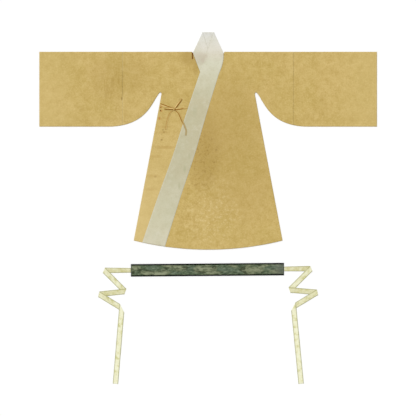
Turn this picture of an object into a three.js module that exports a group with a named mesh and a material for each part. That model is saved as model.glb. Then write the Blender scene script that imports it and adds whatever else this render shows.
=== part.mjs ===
// A hanfu, a cross-collared robe with wide round-bottomed sleeves, and its own waist belt, laid flat.
// Units are millimetres, +Z is up, +Y runs towards the neck and the cloth lies on the plane z = 0.
// Every piece is a wall: a middle surface of joined patches, given its thickness by thicken().
import * as THREE from "three";

// Cloth thicknesses, and the gap between pieces that meet at a seam or lie on each other.
const CLOTH = 1.5;
const BAND = 2.1;
const RIBBON = 1.2;
const GAP = 0.3;

// Robe: outline of one half, mirrored for the other.
const SHOULDER_Y = 998;
const HALF_SPAN = 1080;
const SLEEVE_SEAM_X = 547;
const SLEEVE_BOTTOM_Y = 521;
const UNDERARM = { x: 309, y: 739, tipRadius: 8 };
const SLEEVE_CURVE = { swing: [362, 670], settle: [396, 531], end: [622, SLEEVE_BOTTOM_Y] };
const SIDE_TOP = { x: 298, y: 730 };
const HEM_CORNER = { x: 476, y: -208 };
const HEM_SAG = 58;

// Collar: a doubled band round the neck, straight down both fronts.
const COLLAR_TOP_Y = 1125;
const COLLAR_TOP_HALF = 34;
const NECK = { x: 97, y: 990 };
const FREE_EDGE = { x: 51, y: 872, hemX: 421 };
const SEAM_TOP_Y = 858;
const SEAM_HEM_Y = -246;
const SEAM_EDGE = {
  outer: { x: 69, hemX: 276, swing: [106, 940] },
  inner: { x: 47, hemX: 269, swing: [72, 924] },
};
const NECK_STEPS = 6;
const SHOULDER_NECK_X = 102.5;

// The outer front lies over the inner collar's free edge and comes down beside it.
const DRAPE_MARGIN = 4;
const DRAPE_RAMP = 40;

// Heights of each layer's underside.
const LAYER = {
  back: 0,
  front: CLOTH + GAP,
  innerBand: CLOTH + GAP,
  innerBandNeck: BAND + GAP,
};
LAYER.outerBand = LAYER.innerBand + BAND + GAP;
LAYER.outerBandNeck = LAYER.innerBandNeck + BAND + GAP;
LAYER.onInnerFront = LAYER.front + CLOTH + GAP;
LAYER.onOuterBand = LAYER.outerBand + BAND + GAP;

// Belt
const BELT = { x: -4.6, y: -395, length: 979, height: 79, tilt: 0.48, edge: 8 };
const BELT_FIELD = 2;
const BINDING = 1;

// Belt ribbons: the centre line's corners, from the belt's end to the cut end.
const BELT_RIBBON = { width: 34, gathered: 29, cover: 2, descent: 12 };
const LEFT_RIBBON_PATH = [
  [-495, -399],
  [-666, -399],
  [-531, -534],
  [-699, -552],
  [-552.5, -642],
  [-593.2, -1125.1],
];
const RIGHT_RIBBON_PATH = [
  [486, -390],
  [659, -388],
  [522, -525],
  [699, -539.5],
  [546.5, -631.5],
  [595.2, -1124.8],
];

// Bow: two ties meet in one knot on the inner front, beside the outer collar's free edge.
const TIE_WIDTH = 11;
const KNOT = { x: -217, y: 631, long: 9, wide: 7, high: 3 };
const FLAT = LAYER.onInnerFront;
const ON_TIES = FLAT + RIBBON + GAP;
const TIE_SIDE_PATH = [
  { x: -306, y: 664, under: FLAT },
  { x: -280, y: 655, under: FLAT },
  { x: -256, y: 648, under: FLAT },
  { x: -229, y: 638.5, under: FLAT },
];
const TIE_FRONT_PATH = [
  { x: -132, y: 641, under: FLAT },
  { x: -155, y: 638.5, under: FLAT },
  { x: -180, y: 635.5, under: FLAT },
  { x: -206.5, y: 633, under: FLAT },
];
const LOOP_LEFT_PATH = [
  [-229.5, 634.5],
  [-281, 635.5],
  [-229.5, 634.5],
];
const LOOP_RIGHT_PATH = [
  [-208.5, 641.5],
  [-172.5, 697],
  [-208.5, 641.5],
];
const TAIL_LEFT_PATH = [
  { x: -228, y: 619, under: FLAT },
  { x: -240, y: 601, under: FLAT },
  { x: -252, y: 577, under: FLAT },
  { x: -261, y: 548, under: FLAT },
  { x: -267, y: 519, under: FLAT },
  { x: -270, y: 501, under: FLAT },
];
const TAIL_RIGHT_PATH = [
  { x: -203, y: 619.5, under: FLAT },
  { x: -188, y: 606, under: FLAT },
  { x: -178, y: 588, under: FLAT },
  { x: -169, y: 564, under: LAYER.onOuterBand },
  { x: -157, y: 540, under: LAYER.onOuterBand },
  { x: -146, y: 514, under: LAYER.onOuterBand },
  { x: -140, y: 492, under: LAYER.onOuterBand },
  { x: -143, y: 464, under: LAYER.onOuterBand },
];

const FOLD_STEPS = 4;
const HEM_STEP = 55;

// ---- Walls ----

class Sheet {
  constructor() {
    this.points = [];
    this.faces = [];
    this.known = new Map();
  }

  vertex(x, y, z) {
    const key = [x, y, z].map((v) => Math.round(v * 1000)).join();
    if (!this.known.has(key)) {
      this.known.set(key, this.points.length);
      this.points.push(new THREE.Vector3(x, y, z));
    }
    return this.known.get(key);
  }

  face(a, b, c) {
    if (a !== b && b !== c && c !== a) this.faces.push([a, b, c]);
  }

  // Joins rows of points, each [x, y, z], as a strip.
  strip(rows) {
    for (let r = 1; r < rows.length; r++) {
      const before = rows[r - 1].map((p) => this.vertex(...p));
      const after = rows[r].map((p) => this.vertex(...p));
      for (let c = 1; c < before.length; c++) {
        this.face(before[c - 1], before[c], after[c]);
        this.face(before[c - 1], after[c], after[c - 1]);
      }
    }
  }

  // Fills an outline of [x, y] points at the height given by a function, facing up or down.
  patch(outline, heightAt, facesUp) {
    const flat = outline.map(([x, y]) => new THREE.Vector2(x, y));
    const ids = outline.map(([x, y]) => this.vertex(x, y, heightAt(x, y)));
    for (const [a, b, c] of THREE.ShapeUtils.triangulateShape(flat, [])) {
      const area = THREE.ShapeUtils.area([flat[a], flat[b], flat[c]]);
      if (area > 0 === facesUp) this.face(ids[a], ids[b], ids[c]);
      else this.face(ids[a], ids[c], ids[b]);
    }
  }
}

// Makes the closed wall that lies half its thickness to each side of the sheet.
function thicken(sheet, thickness) {
  const normals = sheet.points.map(() => new THREE.Vector3());
  for (const face of sheet.faces) {
    const [a, b, c] = face.map((i) => sheet.points[i]);
    const across = b.clone().sub(a).cross(c.clone().sub(a));
    for (const i of face) normals[i].add(across);
  }
  const count = sheet.points.length;
  const positions = [];
  for (const side of [0.5, -0.5]) {
    sheet.points.forEach((point, i) => {
      const out = point.clone().addScaledVector(normals[i].normalize(), side * thickness);
      positions.push(out.x, out.y, out.z);
    });
  }
  const index = [];
  const used = new Set(sheet.faces.flatMap(([a, b, c]) => [`${a},${b}`, `${b},${c}`, `${c},${a}`]));
  for (const [a, b, c] of sheet.faces) {
    index.push(a, b, c);
    index.push(a + count, c + count, b + count);
    for (const [from, to] of [[a, b], [b, c], [c, a]]) {
      if (used.has(`${to},${from}`)) continue;
      index.push(to, from, from + count);
      index.push(to, from + count, to + count);
    }
  }
  const geometry = new THREE.BufferGeometry();
  geometry.setAttribute("position", new THREE.Float32BufferAttribute(positions, 3));
  geometry.setIndex(index);
  geometry.computeVertexNormals();
  return geometry;
}

// Rows between two rows of the same length, round a half circle that bulges along a direction.
function foldRows(row, bulge, fromZ, toZ) {
  const rows = [];
  const radius = (toZ - fromZ) / 2;
  for (let step = 1; step < FOLD_STEPS; step++) {
    const angle = (Math.PI * step) / FOLD_STEPS;
    const reach = Math.abs(radius) * Math.sin(angle);
    const z = fromZ + radius * (1 - Math.cos(angle));
    rows.push(row.map(([x, y]) => [x + bulge[0] * reach, y + bulge[1] * reach, z]));
  }
  return rows;
}

// ---- Edges of the robe ----

const hemRadius = (HEM_CORNER.x ** 2 + HEM_SAG ** 2) / (2 * HEM_SAG);
const hemY = (x) => HEM_CORNER.y - HEM_SAG + hemRadius - Math.sqrt(hemRadius ** 2 - x ** 2);

const freeSlope = (FREE_EDGE.hemX - FREE_EDGE.x) / (FREE_EDGE.y - HEM_CORNER.y + 10);
const freeX = (y) => FREE_EDGE.x + (FREE_EDGE.y - y) * freeSlope;

// Where a front's collar seam lies at a height, as for the front whose collar runs to -X.
function seamX(layer, y) {
  const { x, hemX } = SEAM_EDGE[layer];
  return x - ((SEAM_TOP_Y - y) * (hemX + x)) / (SEAM_TOP_Y - SEAM_HEM_Y);
}

// The same seam round the neck, from the top of its straight part up to the shoulder.
function neckCurve(layer) {
  const { x, swing } = SEAM_EDGE[layer];
  const curve = new THREE.QuadraticBezierCurve(
    new THREE.Vector2(x, SEAM_TOP_Y),
    new THREE.Vector2(...swing),
    new THREE.Vector2(NECK.x, NECK.y),
  );
  return curve.getPoints(NECK_STEPS);
}

// Where a line x = xAt(y) meets the hem arc.
function onHem(xAt) {
  let y = HEM_CORNER.y;
  for (let turn = 0; turn < 20; turn++) y = hemY(xAt(y));
  return [xAt(y), y];
}

// Points of the hem arc strictly between two places along it.
function hemBetween(fromX, toX) {
  const steps = Math.max(1, Math.round(Math.abs(toX - fromX) / HEM_STEP));
  const points = [];
  for (let step = 1; step < steps; step++) {
    const x = fromX + ((toX - fromX) * step) / steps;
    points.push([x, hemY(x)]);
  }
  return points;
}

// The rounded underarm, from the side seam's top to the start of the sleeve's curve.
function underarm() {
  const round = new THREE.QuadraticBezierCurve(
    new THREE.Vector2(SIDE_TOP.x, SIDE_TOP.y),
    new THREE.Vector2(UNDERARM.x - 5, UNDERARM.y + UNDERARM.tipRadius),
    new THREE.Vector2(UNDERARM.x + 5, UNDERARM.y - 4),
  );
  return round.getPoints(4).map((p) => [p.x, p.y]);
}

const sleeveBezier = new THREE.CubicBezierCurve(
  new THREE.Vector2(UNDERARM.x + 5, UNDERARM.y - 4),
  new THREE.Vector2(...SLEEVE_CURVE.swing),
  new THREE.Vector2(...SLEEVE_CURVE.settle),
  new THREE.Vector2(...SLEEVE_CURVE.end),
);

// Points of the sleeve's curved lower edge between two places, left out at the ends.
function sleeveCurve(fromX, toX) {
  return sleeveBezier
    .getPoints(24)
    .map((p) => [p.x, p.y])
    .filter(([x]) => x > fromX + 2 && x < toX - 2);
}

function sleeveEdgeY(x) {
  const points = sleeveBezier.getPoints(200);
  const next = points.findIndex((p) => p.x >= x);
  const [a, b] = [points[next - 1], points[next]];
  return a.y + ((b.y - a.y) * (x - a.x)) / (b.x - a.x);
}

// From the hem's corner up the side seam, round the underarm and out along the upper sleeve.
function sideAndSleeve() {
  const endX = SLEEVE_SEAM_X - GAP / 2;
  return [
    [HEM_CORNER.x, HEM_CORNER.y],
    ...underarm(),
    ...sleeveCurve(UNDERARM.x + 5, endX),
    [endX, sleeveEdgeY(endX)],
    [endX, SHOULDER_Y],
  ];
}

const mirrored = (outline, side) => outline.map(([x, y]) => [x * side, y]);

// ---- Body halves ----

const BACK_MIDDLE = LAYER.back + CLOTH / 2;
const FRONT_MIDDLE = LAYER.front + CLOTH / 2;

function backOutline() {
  const middle = GAP / 2;
  return [
    [middle, hemY(middle)],
    ...hemBetween(middle, HEM_CORNER.x),
    ...sideAndSleeve(),
    [SHOULDER_NECK_X, SHOULDER_Y],
    [SHOULDER_NECK_X, NECK.y - GAP],
    [middle, NECK.y - GAP],
  ];
}

// The front's edge beside the collar's seam, up to the shoulder.
function neckEdge(layer) {
  const edge = neckCurve(layer).map((p, i) => {
    const rise = i / NECK_STEPS;
    return [p.x + GAP + (SHOULDER_NECK_X - NECK.x - GAP) * rise ** 6, p.y];
  });
  edge.push([SHOULDER_NECK_X, SHOULDER_Y]);
  return edge;
}

function shoulderFold(side) {
  const row = [
    [side * SHOULDER_NECK_X, SHOULDER_Y],
    [side * (SLEEVE_SEAM_X - GAP / 2), SHOULDER_Y],
  ];
  return [
    row.map((p) => [...p, BACK_MIDDLE]),
    ...foldRows(row, [0, 1], BACK_MIDDLE, FRONT_MIDDLE),
    row.map((p) => [...p, FRONT_MIDDLE]),
  ];
}

// The wearer's right half: its front lies flat on the back, under the outer front.
function bodyRight() {
  const side = -1;
  const sheet = new Sheet();
  const foot = onHem((y) => -seamX("inner", y) - GAP);
  const front = [
    [foot[0], foot[1]],
    ...hemBetween(foot[0], -HEM_CORNER.x),
    ...mirrored(sideAndSleeve(), side),
    ...mirrored(neckEdge("inner"), side).reverse(),
  ];
  sheet.patch(mirrored(backOutline(), side), () => BACK_MIDDLE, true);
  sheet.strip(shoulderFold(side).map((row) => row.reverse()));
  sheet.patch(front, () => FRONT_MIDDLE, false);
  return sheet;
}

// The wearer's left half: its front rides over the inner front and collar, then drops to the back.
function bodyLeft() {
  const sheet = new Sheet();
  const high = LAYER.outerBand + CLOTH / 2;
  const crest = (y) => freeX(y) + DRAPE_MARGIN;
  const foot = (y) => crest(y) + DRAPE_RAMP;
  const seam = (y) => seamX("outer", y) + GAP;
  const height = (x, y) => {
    const down = THREE.MathUtils.clamp((x - crest(y)) / DRAPE_RAMP, 0, 1);
    return high + (FRONT_MIDDLE - high) * down;
  };
  const edge = neckEdge("outer");
  const crestTop = meet(seam, crest);
  const footStep = edge.findIndex(([x, y]) => x > foot(y));
  const footTop = crossing(edge[footStep - 1], edge[footStep], foot);
  const [seamHem, crestHem, footHem] = [seam, crest, foot].map(onHem);
  const plateau = [seamHem, ...hemBetween(seamHem[0], crestHem[0]), crestHem, crestTop];
  const slope = [
    crestHem,
    ...hemBetween(crestHem[0], footHem[0]),
    footHem,
    footTop,
    ...edge.slice(0, footStep).reverse(),
    crestTop,
  ];
  const lying = [
    footHem,
    ...hemBetween(footHem[0], HEM_CORNER.x),
    ...sideAndSleeve(),
    ...edge.slice(footStep).reverse(),
    footTop,
  ];
  sheet.patch(backOutline(), () => BACK_MIDDLE, true);
  sheet.strip(shoulderFold(1));
  for (const part of [plateau, slope, lying]) sheet.patch(part, height, false);
  return sheet;
}

// Where two lines x = f(y) cross.
function meet(first, second) {
  const gapAt = (y) => first(y) - second(y);
  const rate = gapAt(1) - gapAt(0);
  const y = -gapAt(0) / rate;
  return [first(y), y];
}

// Where the segment between two points crosses the line x = f(y).
function crossing(a, b, line) {
  const before = a[0] - line(a[1]);
  const after = b[0] - line(b[1]);
  const share = before / (before - after);
  return [a[0] + (b[0] - a[0]) * share, a[1] + (b[1] - a[1]) * share];
}

// ---- Sleeve extensions ----

function sleeve(side) {
  const sheet = new Sheet();
  const startX = SLEEVE_SEAM_X + GAP / 2;
  const outline = [
    [startX, SHOULDER_Y],
    [startX, sleeveEdgeY(startX)],
    ...sleeveCurve(startX, SLEEVE_CURVE.end[0]),
    SLEEVE_CURVE.end,
    [HALF_SPAN, SLEEVE_BOTTOM_Y],
    [HALF_SPAN, SHOULDER_Y],
  ];
  const top = [
    [side * startX, SHOULDER_Y],
    [side * HALF_SPAN, SHOULDER_Y],
  ];
  const fold = [
    top.map((p) => [...p, BACK_MIDDLE]),
    ...foldRows(top, [0, 1], BACK_MIDDLE, FRONT_MIDDLE),
    top.map((p) => [...p, FRONT_MIDDLE]),
  ];
  sheet.patch(mirrored(outline, side), () => BACK_MIDDLE, true);
  sheet.strip(side > 0 ? fold : fold.map((row) => row.reverse()));
  sheet.patch(mirrored(outline, side), () => FRONT_MIDDLE, false);
  return sheet;
}

// ---- Collar ----

// Heights of the band's underside along one front, from the neck fold to the hem.
const BAND_ROWS = [
  { seamY: 800, freeY: 900, inner: LAYER.innerBand, outer: LAYER.outerBandNeck },
  { seamY: 700, freeY: 790, inner: LAYER.innerBand, outer: LAYER.outerBandNeck },
  { seamY: 600, freeY: 680, inner: LAYER.innerBand, outer: LAYER.outerBand },
  { seamY: 200, freeY: 260, inner: LAYER.innerBand, outer: LAYER.outerBand },
];

// The stretch of band down one front, as rows from the neck to the hem. The outer one runs to -X.
function bandRows(layer, neckUnder) {
  const side = layer === "outer" ? -1 : 1;
  const row = (freeY, seam, under) => [
    [side * freeX(freeY), freeY, under + BAND / 2],
    [side * -seam[0], seam[1], under + BAND / 2],
  ];
  const neck = neckCurve(layer).reverse();
  const rows = neck.map((p, i) => {
    const freeY = THREE.MathUtils.lerp(COLLAR_TOP_Y, 975, i / NECK_STEPS);
    return row(freeY, [p.x, p.y], neckUnder);
  });
  for (const { seamY, freeY, ...under } of BAND_ROWS) {
    rows.push(row(freeY, [seamX(layer, seamY), seamY], under[layer]));
  }
  const seamHem = onHem((y) => -seamX(layer, y));
  const freeHem = onHem(freeX);
  rows.push(row(freeHem[1], [seamX(layer, seamHem[1]), seamHem[1]], LAYER[`${layer}Band`]));
  return rows;
}

function collar() {
  const sheet = new Sheet();
  const inner = bandRows("inner", LAYER.innerBandNeck);
  const outer = bandRows("outer", LAYER.outerBandNeck);
  const backZ = BAND / 2;
  const across = new THREE.Vector2(NECK.y - COLLAR_TOP_Y, COLLAR_TOP_HALF - NECK.x).normalize();
  const leftBulge = [across.x, -across.y];
  const rightBulge = [-across.x, -across.y];
  const innerFold = inner[0];
  const outerFold = outer[0];
  const flat = (row, z) => row.map(([x, y]) => [x, y, z]);
  sheet.strip([
    ...inner.reverse(),
    ...foldRows(innerFold, leftBulge, innerFold[0][2], backZ),
    flat(innerFold, backZ),
    flat(outerFold, backZ),
    ...foldRows(outerFold, rightBulge, backZ, outerFold[0][2]),
    ...outer,
  ]);
  return sheet;
}

// ---- Ties and ribbons ----

// A ribbon along a row of points that each name the height of what it lies on.
function tie(path) {
  const sheet = new Sheet();
  const rows = path.map(({ x, y, under }, i) => {
    const before = path[Math.max(i - 1, 0)];
    const after = path[Math.min(i + 1, path.length - 1)];
    const along = new THREE.Vector2(after.x - before.x, after.y - before.y).normalize();
    return [TIE_WIDTH / 2, -TIE_WIDTH / 2].map((half) => [
      x - along.y * half,
      y + along.x * half,
      under + RIBBON / 2,
    ]);
  });
  sheet.strip(rows);
  return sheet;
}

// A ribbon folded flat at each corner of its path, where the next stretch lies over the last.
// It may start narrower, where it is gathered.
function foldedRibbon(path, width, under, startWidth = width) {
  const sheet = new Sheet();
  const corners = path.map(([x, y]) => new THREE.Vector2(x, y));
  const stretches = corners.slice(1).map((to, i) => to.clone().sub(corners[i]).normalize());
  const low = under + RIBBON / 2;
  const high = low + RIBBON + GAP;
  const left = (along) => new THREE.Vector2(-along.y, along.x);
  const rows = [];
  let flip = 1;
  // The row where a line through a place, square to a direction, cuts the stretch's two edges.
  const cut = (start, along, through, square, z, wide = width) =>
    [flip, -flip].map((side) => {
      const edge = start.clone().addScaledVector(left(along), (side * wide) / 2);
      const run = through.clone().sub(edge).dot(square) / along.dot(square);
      edge.addScaledVector(along, run);
      return [edge.x, edge.y, z];
    });
  stretches.forEach((along, i) => {
    const start = corners[i];
    const end = corners[i + 1];
    if (i === 0) rows.push(cut(start, along, start, along, low, startWidth));
    else rows.push(...landing(start, along, stretches[i - 1], cut, width, low, high));
    const next = stretches[i + 1];
    if (!next) {
      rows.push(cut(start, along, end, along, rows.at(-1)[0][2]));
      return;
    }
    const turnedBack = along.dot(next) < -0.999;
    const foldLine = turnedBack ? left(along) : along.clone().add(next).normalize();
    const square = left(foldLine);
    if (square.dot(along) < 0) square.negate();
    const fold = cut(start, along, end, square, low);
    rows.push(fold, ...foldRows(fold, [square.x, square.y], low, high));
    flip = -flip;
    rows.push(fold.map(([x, y]) => [x, y, high]));
  });
  sheet.strip(rows);
  return sheet;
}

// After a fold the ribbon clears the edge of the stretch below it and comes down.
function landing(start, along, before, cut, width, low, high) {
  const square = new THREE.Vector2(-before.y, before.x);
  const side = Math.sign(along.dot(square));
  if (Math.abs(along.dot(square)) < 0.01) return [];
  const past = (reach) => start.clone().addScaledVector(square, side * (width / 2 + reach));
  return [
    cut(start, along, past(BELT_RIBBON.cover), square, high),
    cut(start, along, past(BELT_RIBBON.cover + BELT_RIBBON.descent), square, low),
  ];
}

function knot() {
  const geometry = new THREE.SphereGeometry(1, 16, 10);
  geometry.scale(KNOT.long, KNOT.wide, KNOT.high);
  return geometry;
}

// ---- Belt ----

function beltField() {
  const height = BELT.height - 2 * (BINDING + GAP);
  return new THREE.BoxGeometry(BELT.length, height, BELT_FIELD);
}

// A strip of binding folded round the belt's long edge, open towards the belt's middle.
function beltBinding() {
  const outer = BELT_FIELD / 2 + GAP + BINDING;
  const inner = outer - BINDING;
  const section = new THREE.Shape([
    new THREE.Vector2(0, -outer),
    new THREE.Vector2(0, outer),
    new THREE.Vector2(-BELT.edge, outer),
    new THREE.Vector2(-BELT.edge, inner),
    new THREE.Vector2(-BINDING, inner),
    new THREE.Vector2(-BINDING, -inner),
    new THREE.Vector2(-BELT.edge, -inner),
    new THREE.Vector2(-BELT.edge, -outer),
  ]);
  const geometry = new THREE.ExtrudeGeometry(section, { depth: BELT.length, bevelEnabled: false });
  geometry.translate(0, 0, -BELT.length / 2);
  // The section's x becomes +Y, its y becomes +Z and the extrusion runs along +X.
  return geometry.applyMatrix4(new THREE.Matrix4().set(0, 0, 1, 0, 1, 0, 0, 0, 0, 1, 0, 0, 0, 0, 0, 1));
}

// ---- Materials ----

const cloth = (color, roughness) =>
  new THREE.MeshStandardMaterial({ color, roughness, metalness: 0 });
const robeCloth = () => cloth(0xc9ae6c, 0.78);
const collarCloth = () => cloth(0xd2ccb2, 0.8);
const tieCloth = () => cloth(0xcdb06c, 0.7);
const brocade = () => cloth(0x66715a, 0.6);
const binding = () => cloth(0x1a2a22, 0.65);
const ribbonSilk = () => cloth(0xecEac8, 0.55);

// ---- Assembly ----

const group = new THREE.Group();

function add(parent, name, geometry, material) {
  const mesh = new THREE.Mesh(geometry, material);
  mesh.name = name;
  parent.add(mesh);
  return mesh;
}

add(group, "body_left", thicken(bodyLeft(), CLOTH), robeCloth());
add(group, "body_right", thicken(bodyRight(), CLOTH), robeCloth());
add(group, "sleeve_left", thicken(sleeve(1), CLOTH), robeCloth());
add(group, "sleeve_right", thicken(sleeve(-1), CLOTH), robeCloth());
add(group, "collar", thicken(collar(), BAND), collarCloth());

const bow = [
  { name: "tie_side", sheet: tie(TIE_SIDE_PATH) },
  { name: "tie_front", sheet: tie(TIE_FRONT_PATH) },
  { name: "bow_tail_left", sheet: tie(TAIL_LEFT_PATH) },
  { name: "bow_tail_right", sheet: tie(TAIL_RIGHT_PATH) },
  { name: "bow_loop_left", sheet: foldedRibbon(LOOP_LEFT_PATH, TIE_WIDTH, ON_TIES) },
  { name: "bow_loop_right", sheet: foldedRibbon(LOOP_RIGHT_PATH, TIE_WIDTH, ON_TIES) },
];
for (const { name, sheet } of bow) add(group, name, thicken(sheet, RIBBON), tieCloth());
const bowKnot = add(group, "bow_knot", knot(), tieCloth());
bowKnot.position.set(KNOT.x, KNOT.y, FLAT + KNOT.high);

const belt = new THREE.Group();
belt.position.set(BELT.x, BELT.y, BINDING + GAP + BELT_FIELD / 2);
belt.rotation.z = THREE.MathUtils.degToRad(BELT.tilt);
group.add(belt);
add(belt, "belt_field", beltField(), brocade());
add(belt, "belt_edge_top", beltBinding(), binding()).position.y = BELT.height / 2;
const bottomEdge = add(belt, "belt_edge_bottom", beltBinding(), binding());
bottomEdge.position.y = -BELT.height / 2;
bottomEdge.rotation.z = Math.PI;

const ribbons = [
  { name: "belt_ribbon_left", path: LEFT_RIBBON_PATH },
  { name: "belt_ribbon_right", path: RIGHT_RIBBON_PATH },
];
for (const { name, path } of ribbons) {
  const sheet = foldedRibbon(path, BELT_RIBBON.width, 0, BELT_RIBBON.gathered);
  add(group, name, thicken(sheet, RIBBON), ribbonSilk());
}

export default group;
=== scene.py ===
"""A hanfu robe with its own waist belt, laid flat on a pale floor.

Lengths are millimetres until make_piece() turns them into metres.
"""

import math
from collections import namedtuple

import bpy
import numpy as np
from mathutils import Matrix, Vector
from mathutils.geometry import delaunay_2d_cdt


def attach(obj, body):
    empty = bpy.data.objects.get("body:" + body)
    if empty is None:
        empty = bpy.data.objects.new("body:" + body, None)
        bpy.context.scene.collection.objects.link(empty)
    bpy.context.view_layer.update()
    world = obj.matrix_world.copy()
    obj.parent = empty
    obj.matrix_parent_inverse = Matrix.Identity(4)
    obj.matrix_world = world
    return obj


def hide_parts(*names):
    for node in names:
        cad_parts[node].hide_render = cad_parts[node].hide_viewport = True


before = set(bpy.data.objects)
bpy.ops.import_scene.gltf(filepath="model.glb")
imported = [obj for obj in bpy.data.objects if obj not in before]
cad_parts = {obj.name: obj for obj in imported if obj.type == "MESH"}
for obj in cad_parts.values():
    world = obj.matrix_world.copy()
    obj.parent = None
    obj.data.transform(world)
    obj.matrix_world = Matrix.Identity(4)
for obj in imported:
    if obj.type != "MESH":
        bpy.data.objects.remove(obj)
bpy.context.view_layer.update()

MM = 0.001
BODY = "root"

# ---- Sizes of the robe, as it was cut and laid ----

SHOULDER_Y = 998
HALF_SPAN = 1080
SLEEVE_SEAM_X = 547
SLEEVE_BOTTOM_Y = 521
SIDE_TOP = (298, 730)
UNDERARM_TIP = (304, 747)
SLEEVE_START = (314, 735)
SLEEVE_SWING = (362, 670)
SLEEVE_SETTLE = (396, 531)
SLEEVE_LEVEL = (622, SLEEVE_BOTTOM_Y)
HEM_CORNER = (476, -208)
HEM_SAG = 58
HEM_RADIUS = (HEM_CORNER[0] ** 2 + HEM_SAG**2) / (2 * HEM_SAG)

COLLAR_TOP_Y = 1125
NECK = (97, 990)
SEAM_TOP_Y = 858
SEAM_HEM_Y = -246
Seam = namedtuple("Seam", "top_x hem_x swing")
SEAMS = {"outer": Seam(69, -276, (106, 940)), "inner": Seam(47, -269, (72, 924))}
FREE_TOP = (51, 872)
FREE_HEM = (421, -218)
SHOULDER_NECK_X = 102.5

# ---- Thicknesses, and the heights at which each layer's middle lies ----

CLOTH = 0.9
BAND = 1.0
RIBBON = 0.7
SEAM_GAP = 0.05
BACK_Z = 0.7
FRONT_Z = 2.35
OVER_Z = 3.5
BAND_BACK_Z = 0.8
BAND_INNER_Z = (2.0, 2.4)
BAND_OUTER_Z = (3.65, 3.6)
DRAPE_MARGIN = 4
DRAPE_RAMP = 40

# ---- Belt and ties ----

BELT_CENTRE = (-4.6, -395)
BELT_SIZE = (979, 79)
BELT_TILT = math.radians(0.48)
BELT_Z = 2.3
BINDING_FACE = 8

FINE = 6
COARSE = 15
RIM_INSET = 0.08


def table(kind, *rows):
    """Rows of numbers as records of one kind."""
    return [kind(*row) for row in rows]


# ---- Edges ----


def hem_y(x):
    return HEM_CORNER[1] - HEM_SAG + HEM_RADIUS - np.sqrt(HEM_RADIUS**2 - x**2)


def free_x(y):
    """The inner collar's free edge; the outer one's is its mirror image."""
    slope = (FREE_HEM[0] - FREE_TOP[0]) / (FREE_TOP[1] - FREE_HEM[1])
    return FREE_TOP[0] + (FREE_TOP[1] - y) * slope


def sway(layer, y):
    """The outer collar lies a little off the straight, halfway down."""
    return 6.5 * np.exp(-(((y - 340) / 190) ** 2)) if layer == "outer" else 0.0


def seam_x(layer, y):
    """Where a collar is sewn to its front below the neck, as for the collar that runs to -X."""
    seam = SEAMS[layer]
    slope = (seam.top_x - seam.hem_x) / (SEAM_TOP_Y - SEAM_HEM_Y)
    return seam.top_x - (SEAM_TOP_Y - y) * slope + sway(layer, y)


def bezier(points, count):
    """Evenly spread parameters along a Bezier curve of any degree."""
    t = np.linspace(0, 1, count + 1)[:, None]
    stage = [np.array(p, float) for p in points]
    while len(stage) > 1:
        stage = [a * (1 - t) + b * t for a, b in zip(stage, stage[1:])]
    return stage[0]


def walk(points, spacing):
    """Points at about one spacing along a line through some corners."""
    out = []
    for a, b in zip(points, points[1:]):
        a, b = np.array(a, float), np.array(b, float)
        steps = max(1, round(float(np.linalg.norm(b - a)) / spacing))
        out += [a + (b - a) * k / steps for k in range(steps)]
    return np.array([*out, np.array(points[-1], float)])


def on_hem(line):
    """Where a line x = line(y) meets the hem's arc."""
    y = HEM_CORNER[1]
    for _ in range(20):
        y = hem_y(line(y))
    return line(y), y


def hem_between(x0, x1, spacing=FINE):
    count = max(2, round(abs(x1 - x0) / spacing))
    x = np.linspace(x0, x1, count + 1)
    return np.column_stack([x, hem_y(x)])


SLEEVE_CURVE = bezier([SLEEVE_START, SLEEVE_SWING, SLEEVE_SETTLE, SLEEVE_LEVEL], 60)


def sleeve_bottom(x0, x1):
    """The sleeve's lower edge between two places, level once the curve has ended."""
    y0, y1 = (float(np.interp(x, *SLEEVE_CURVE.T)) for x in (x0, x1))
    middle = [p for p in SLEEVE_CURVE if x0 + 2 < p[0] < x1 - 2]
    return walk([(x0, y0), *middle, (x1, y1)], FINE)


def neck_curve(layer):
    """The collar's seam round the neck, from its straight part's top to the shoulder."""
    seam = SEAMS[layer]
    return bezier([(seam.top_x, SEAM_TOP_Y), seam.swing, NECK], 24)


def neck_edge(layer):
    """The front's edge beside the collar's seam, from the straight seam's top to the shoulder."""
    curve = neck_curve(layer)
    rise = np.linspace(0, 1, len(curve))
    aside = SEAM_GAP + (SHOULDER_NECK_X - NECK[0] - SEAM_GAP) * rise**6
    edge = curve + np.column_stack([aside, 0 * aside])
    return walk([*edge, (SHOULDER_NECK_X, SHOULDER_Y)], FINE)


def side_and_sleeve():
    """From the hem's corner up the side, round the underarm, along the sleeve and up its seam."""
    end = SLEEVE_SEAM_X - SEAM_GAP / 2
    side = walk([HEM_CORNER, SIDE_TOP], FINE)[:-1]
    tip = bezier([SIDE_TOP, UNDERARM_TIP, SLEEVE_START], 5)[:-1]
    bottom = sleeve_bottom(SLEEVE_START[0], end)[:-1]
    seam = walk([(end, float(np.interp(end, *SLEEVE_CURVE.T))), (end, SHOULDER_Y)], FINE)[:-1]
    return np.vstack([side, tip, bottom, seam])


def shoulder():
    """The top fold, from the sleeve's seam to the neck."""
    end = SLEEVE_SEAM_X - SEAM_GAP / 2
    return walk([(end, SHOULDER_Y), (SHOULDER_NECK_X, SHOULDER_Y)], FINE)


# ---- Meshes ----


def inside(points, edge):
    """Which points lie within a closed outline."""
    a, b = edge, np.roll(edge, -1, axis=0)
    x, y = points[:, 0, None], points[:, 1, None]
    spans = (a[:, 1] > y) != (b[:, 1] > y)
    rise = np.where(b[:, 1] == a[:, 1], 1e-9, b[:, 1] - a[:, 1])
    cut = a[:, 0] + (y - a[:, 1]) * (b[:, 0] - a[:, 0]) / rise
    return (spans & (x < cut)).sum(axis=1) % 2 == 1


ROW_RISE = 0.87
KEEP_CLEAR = 0.55


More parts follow.
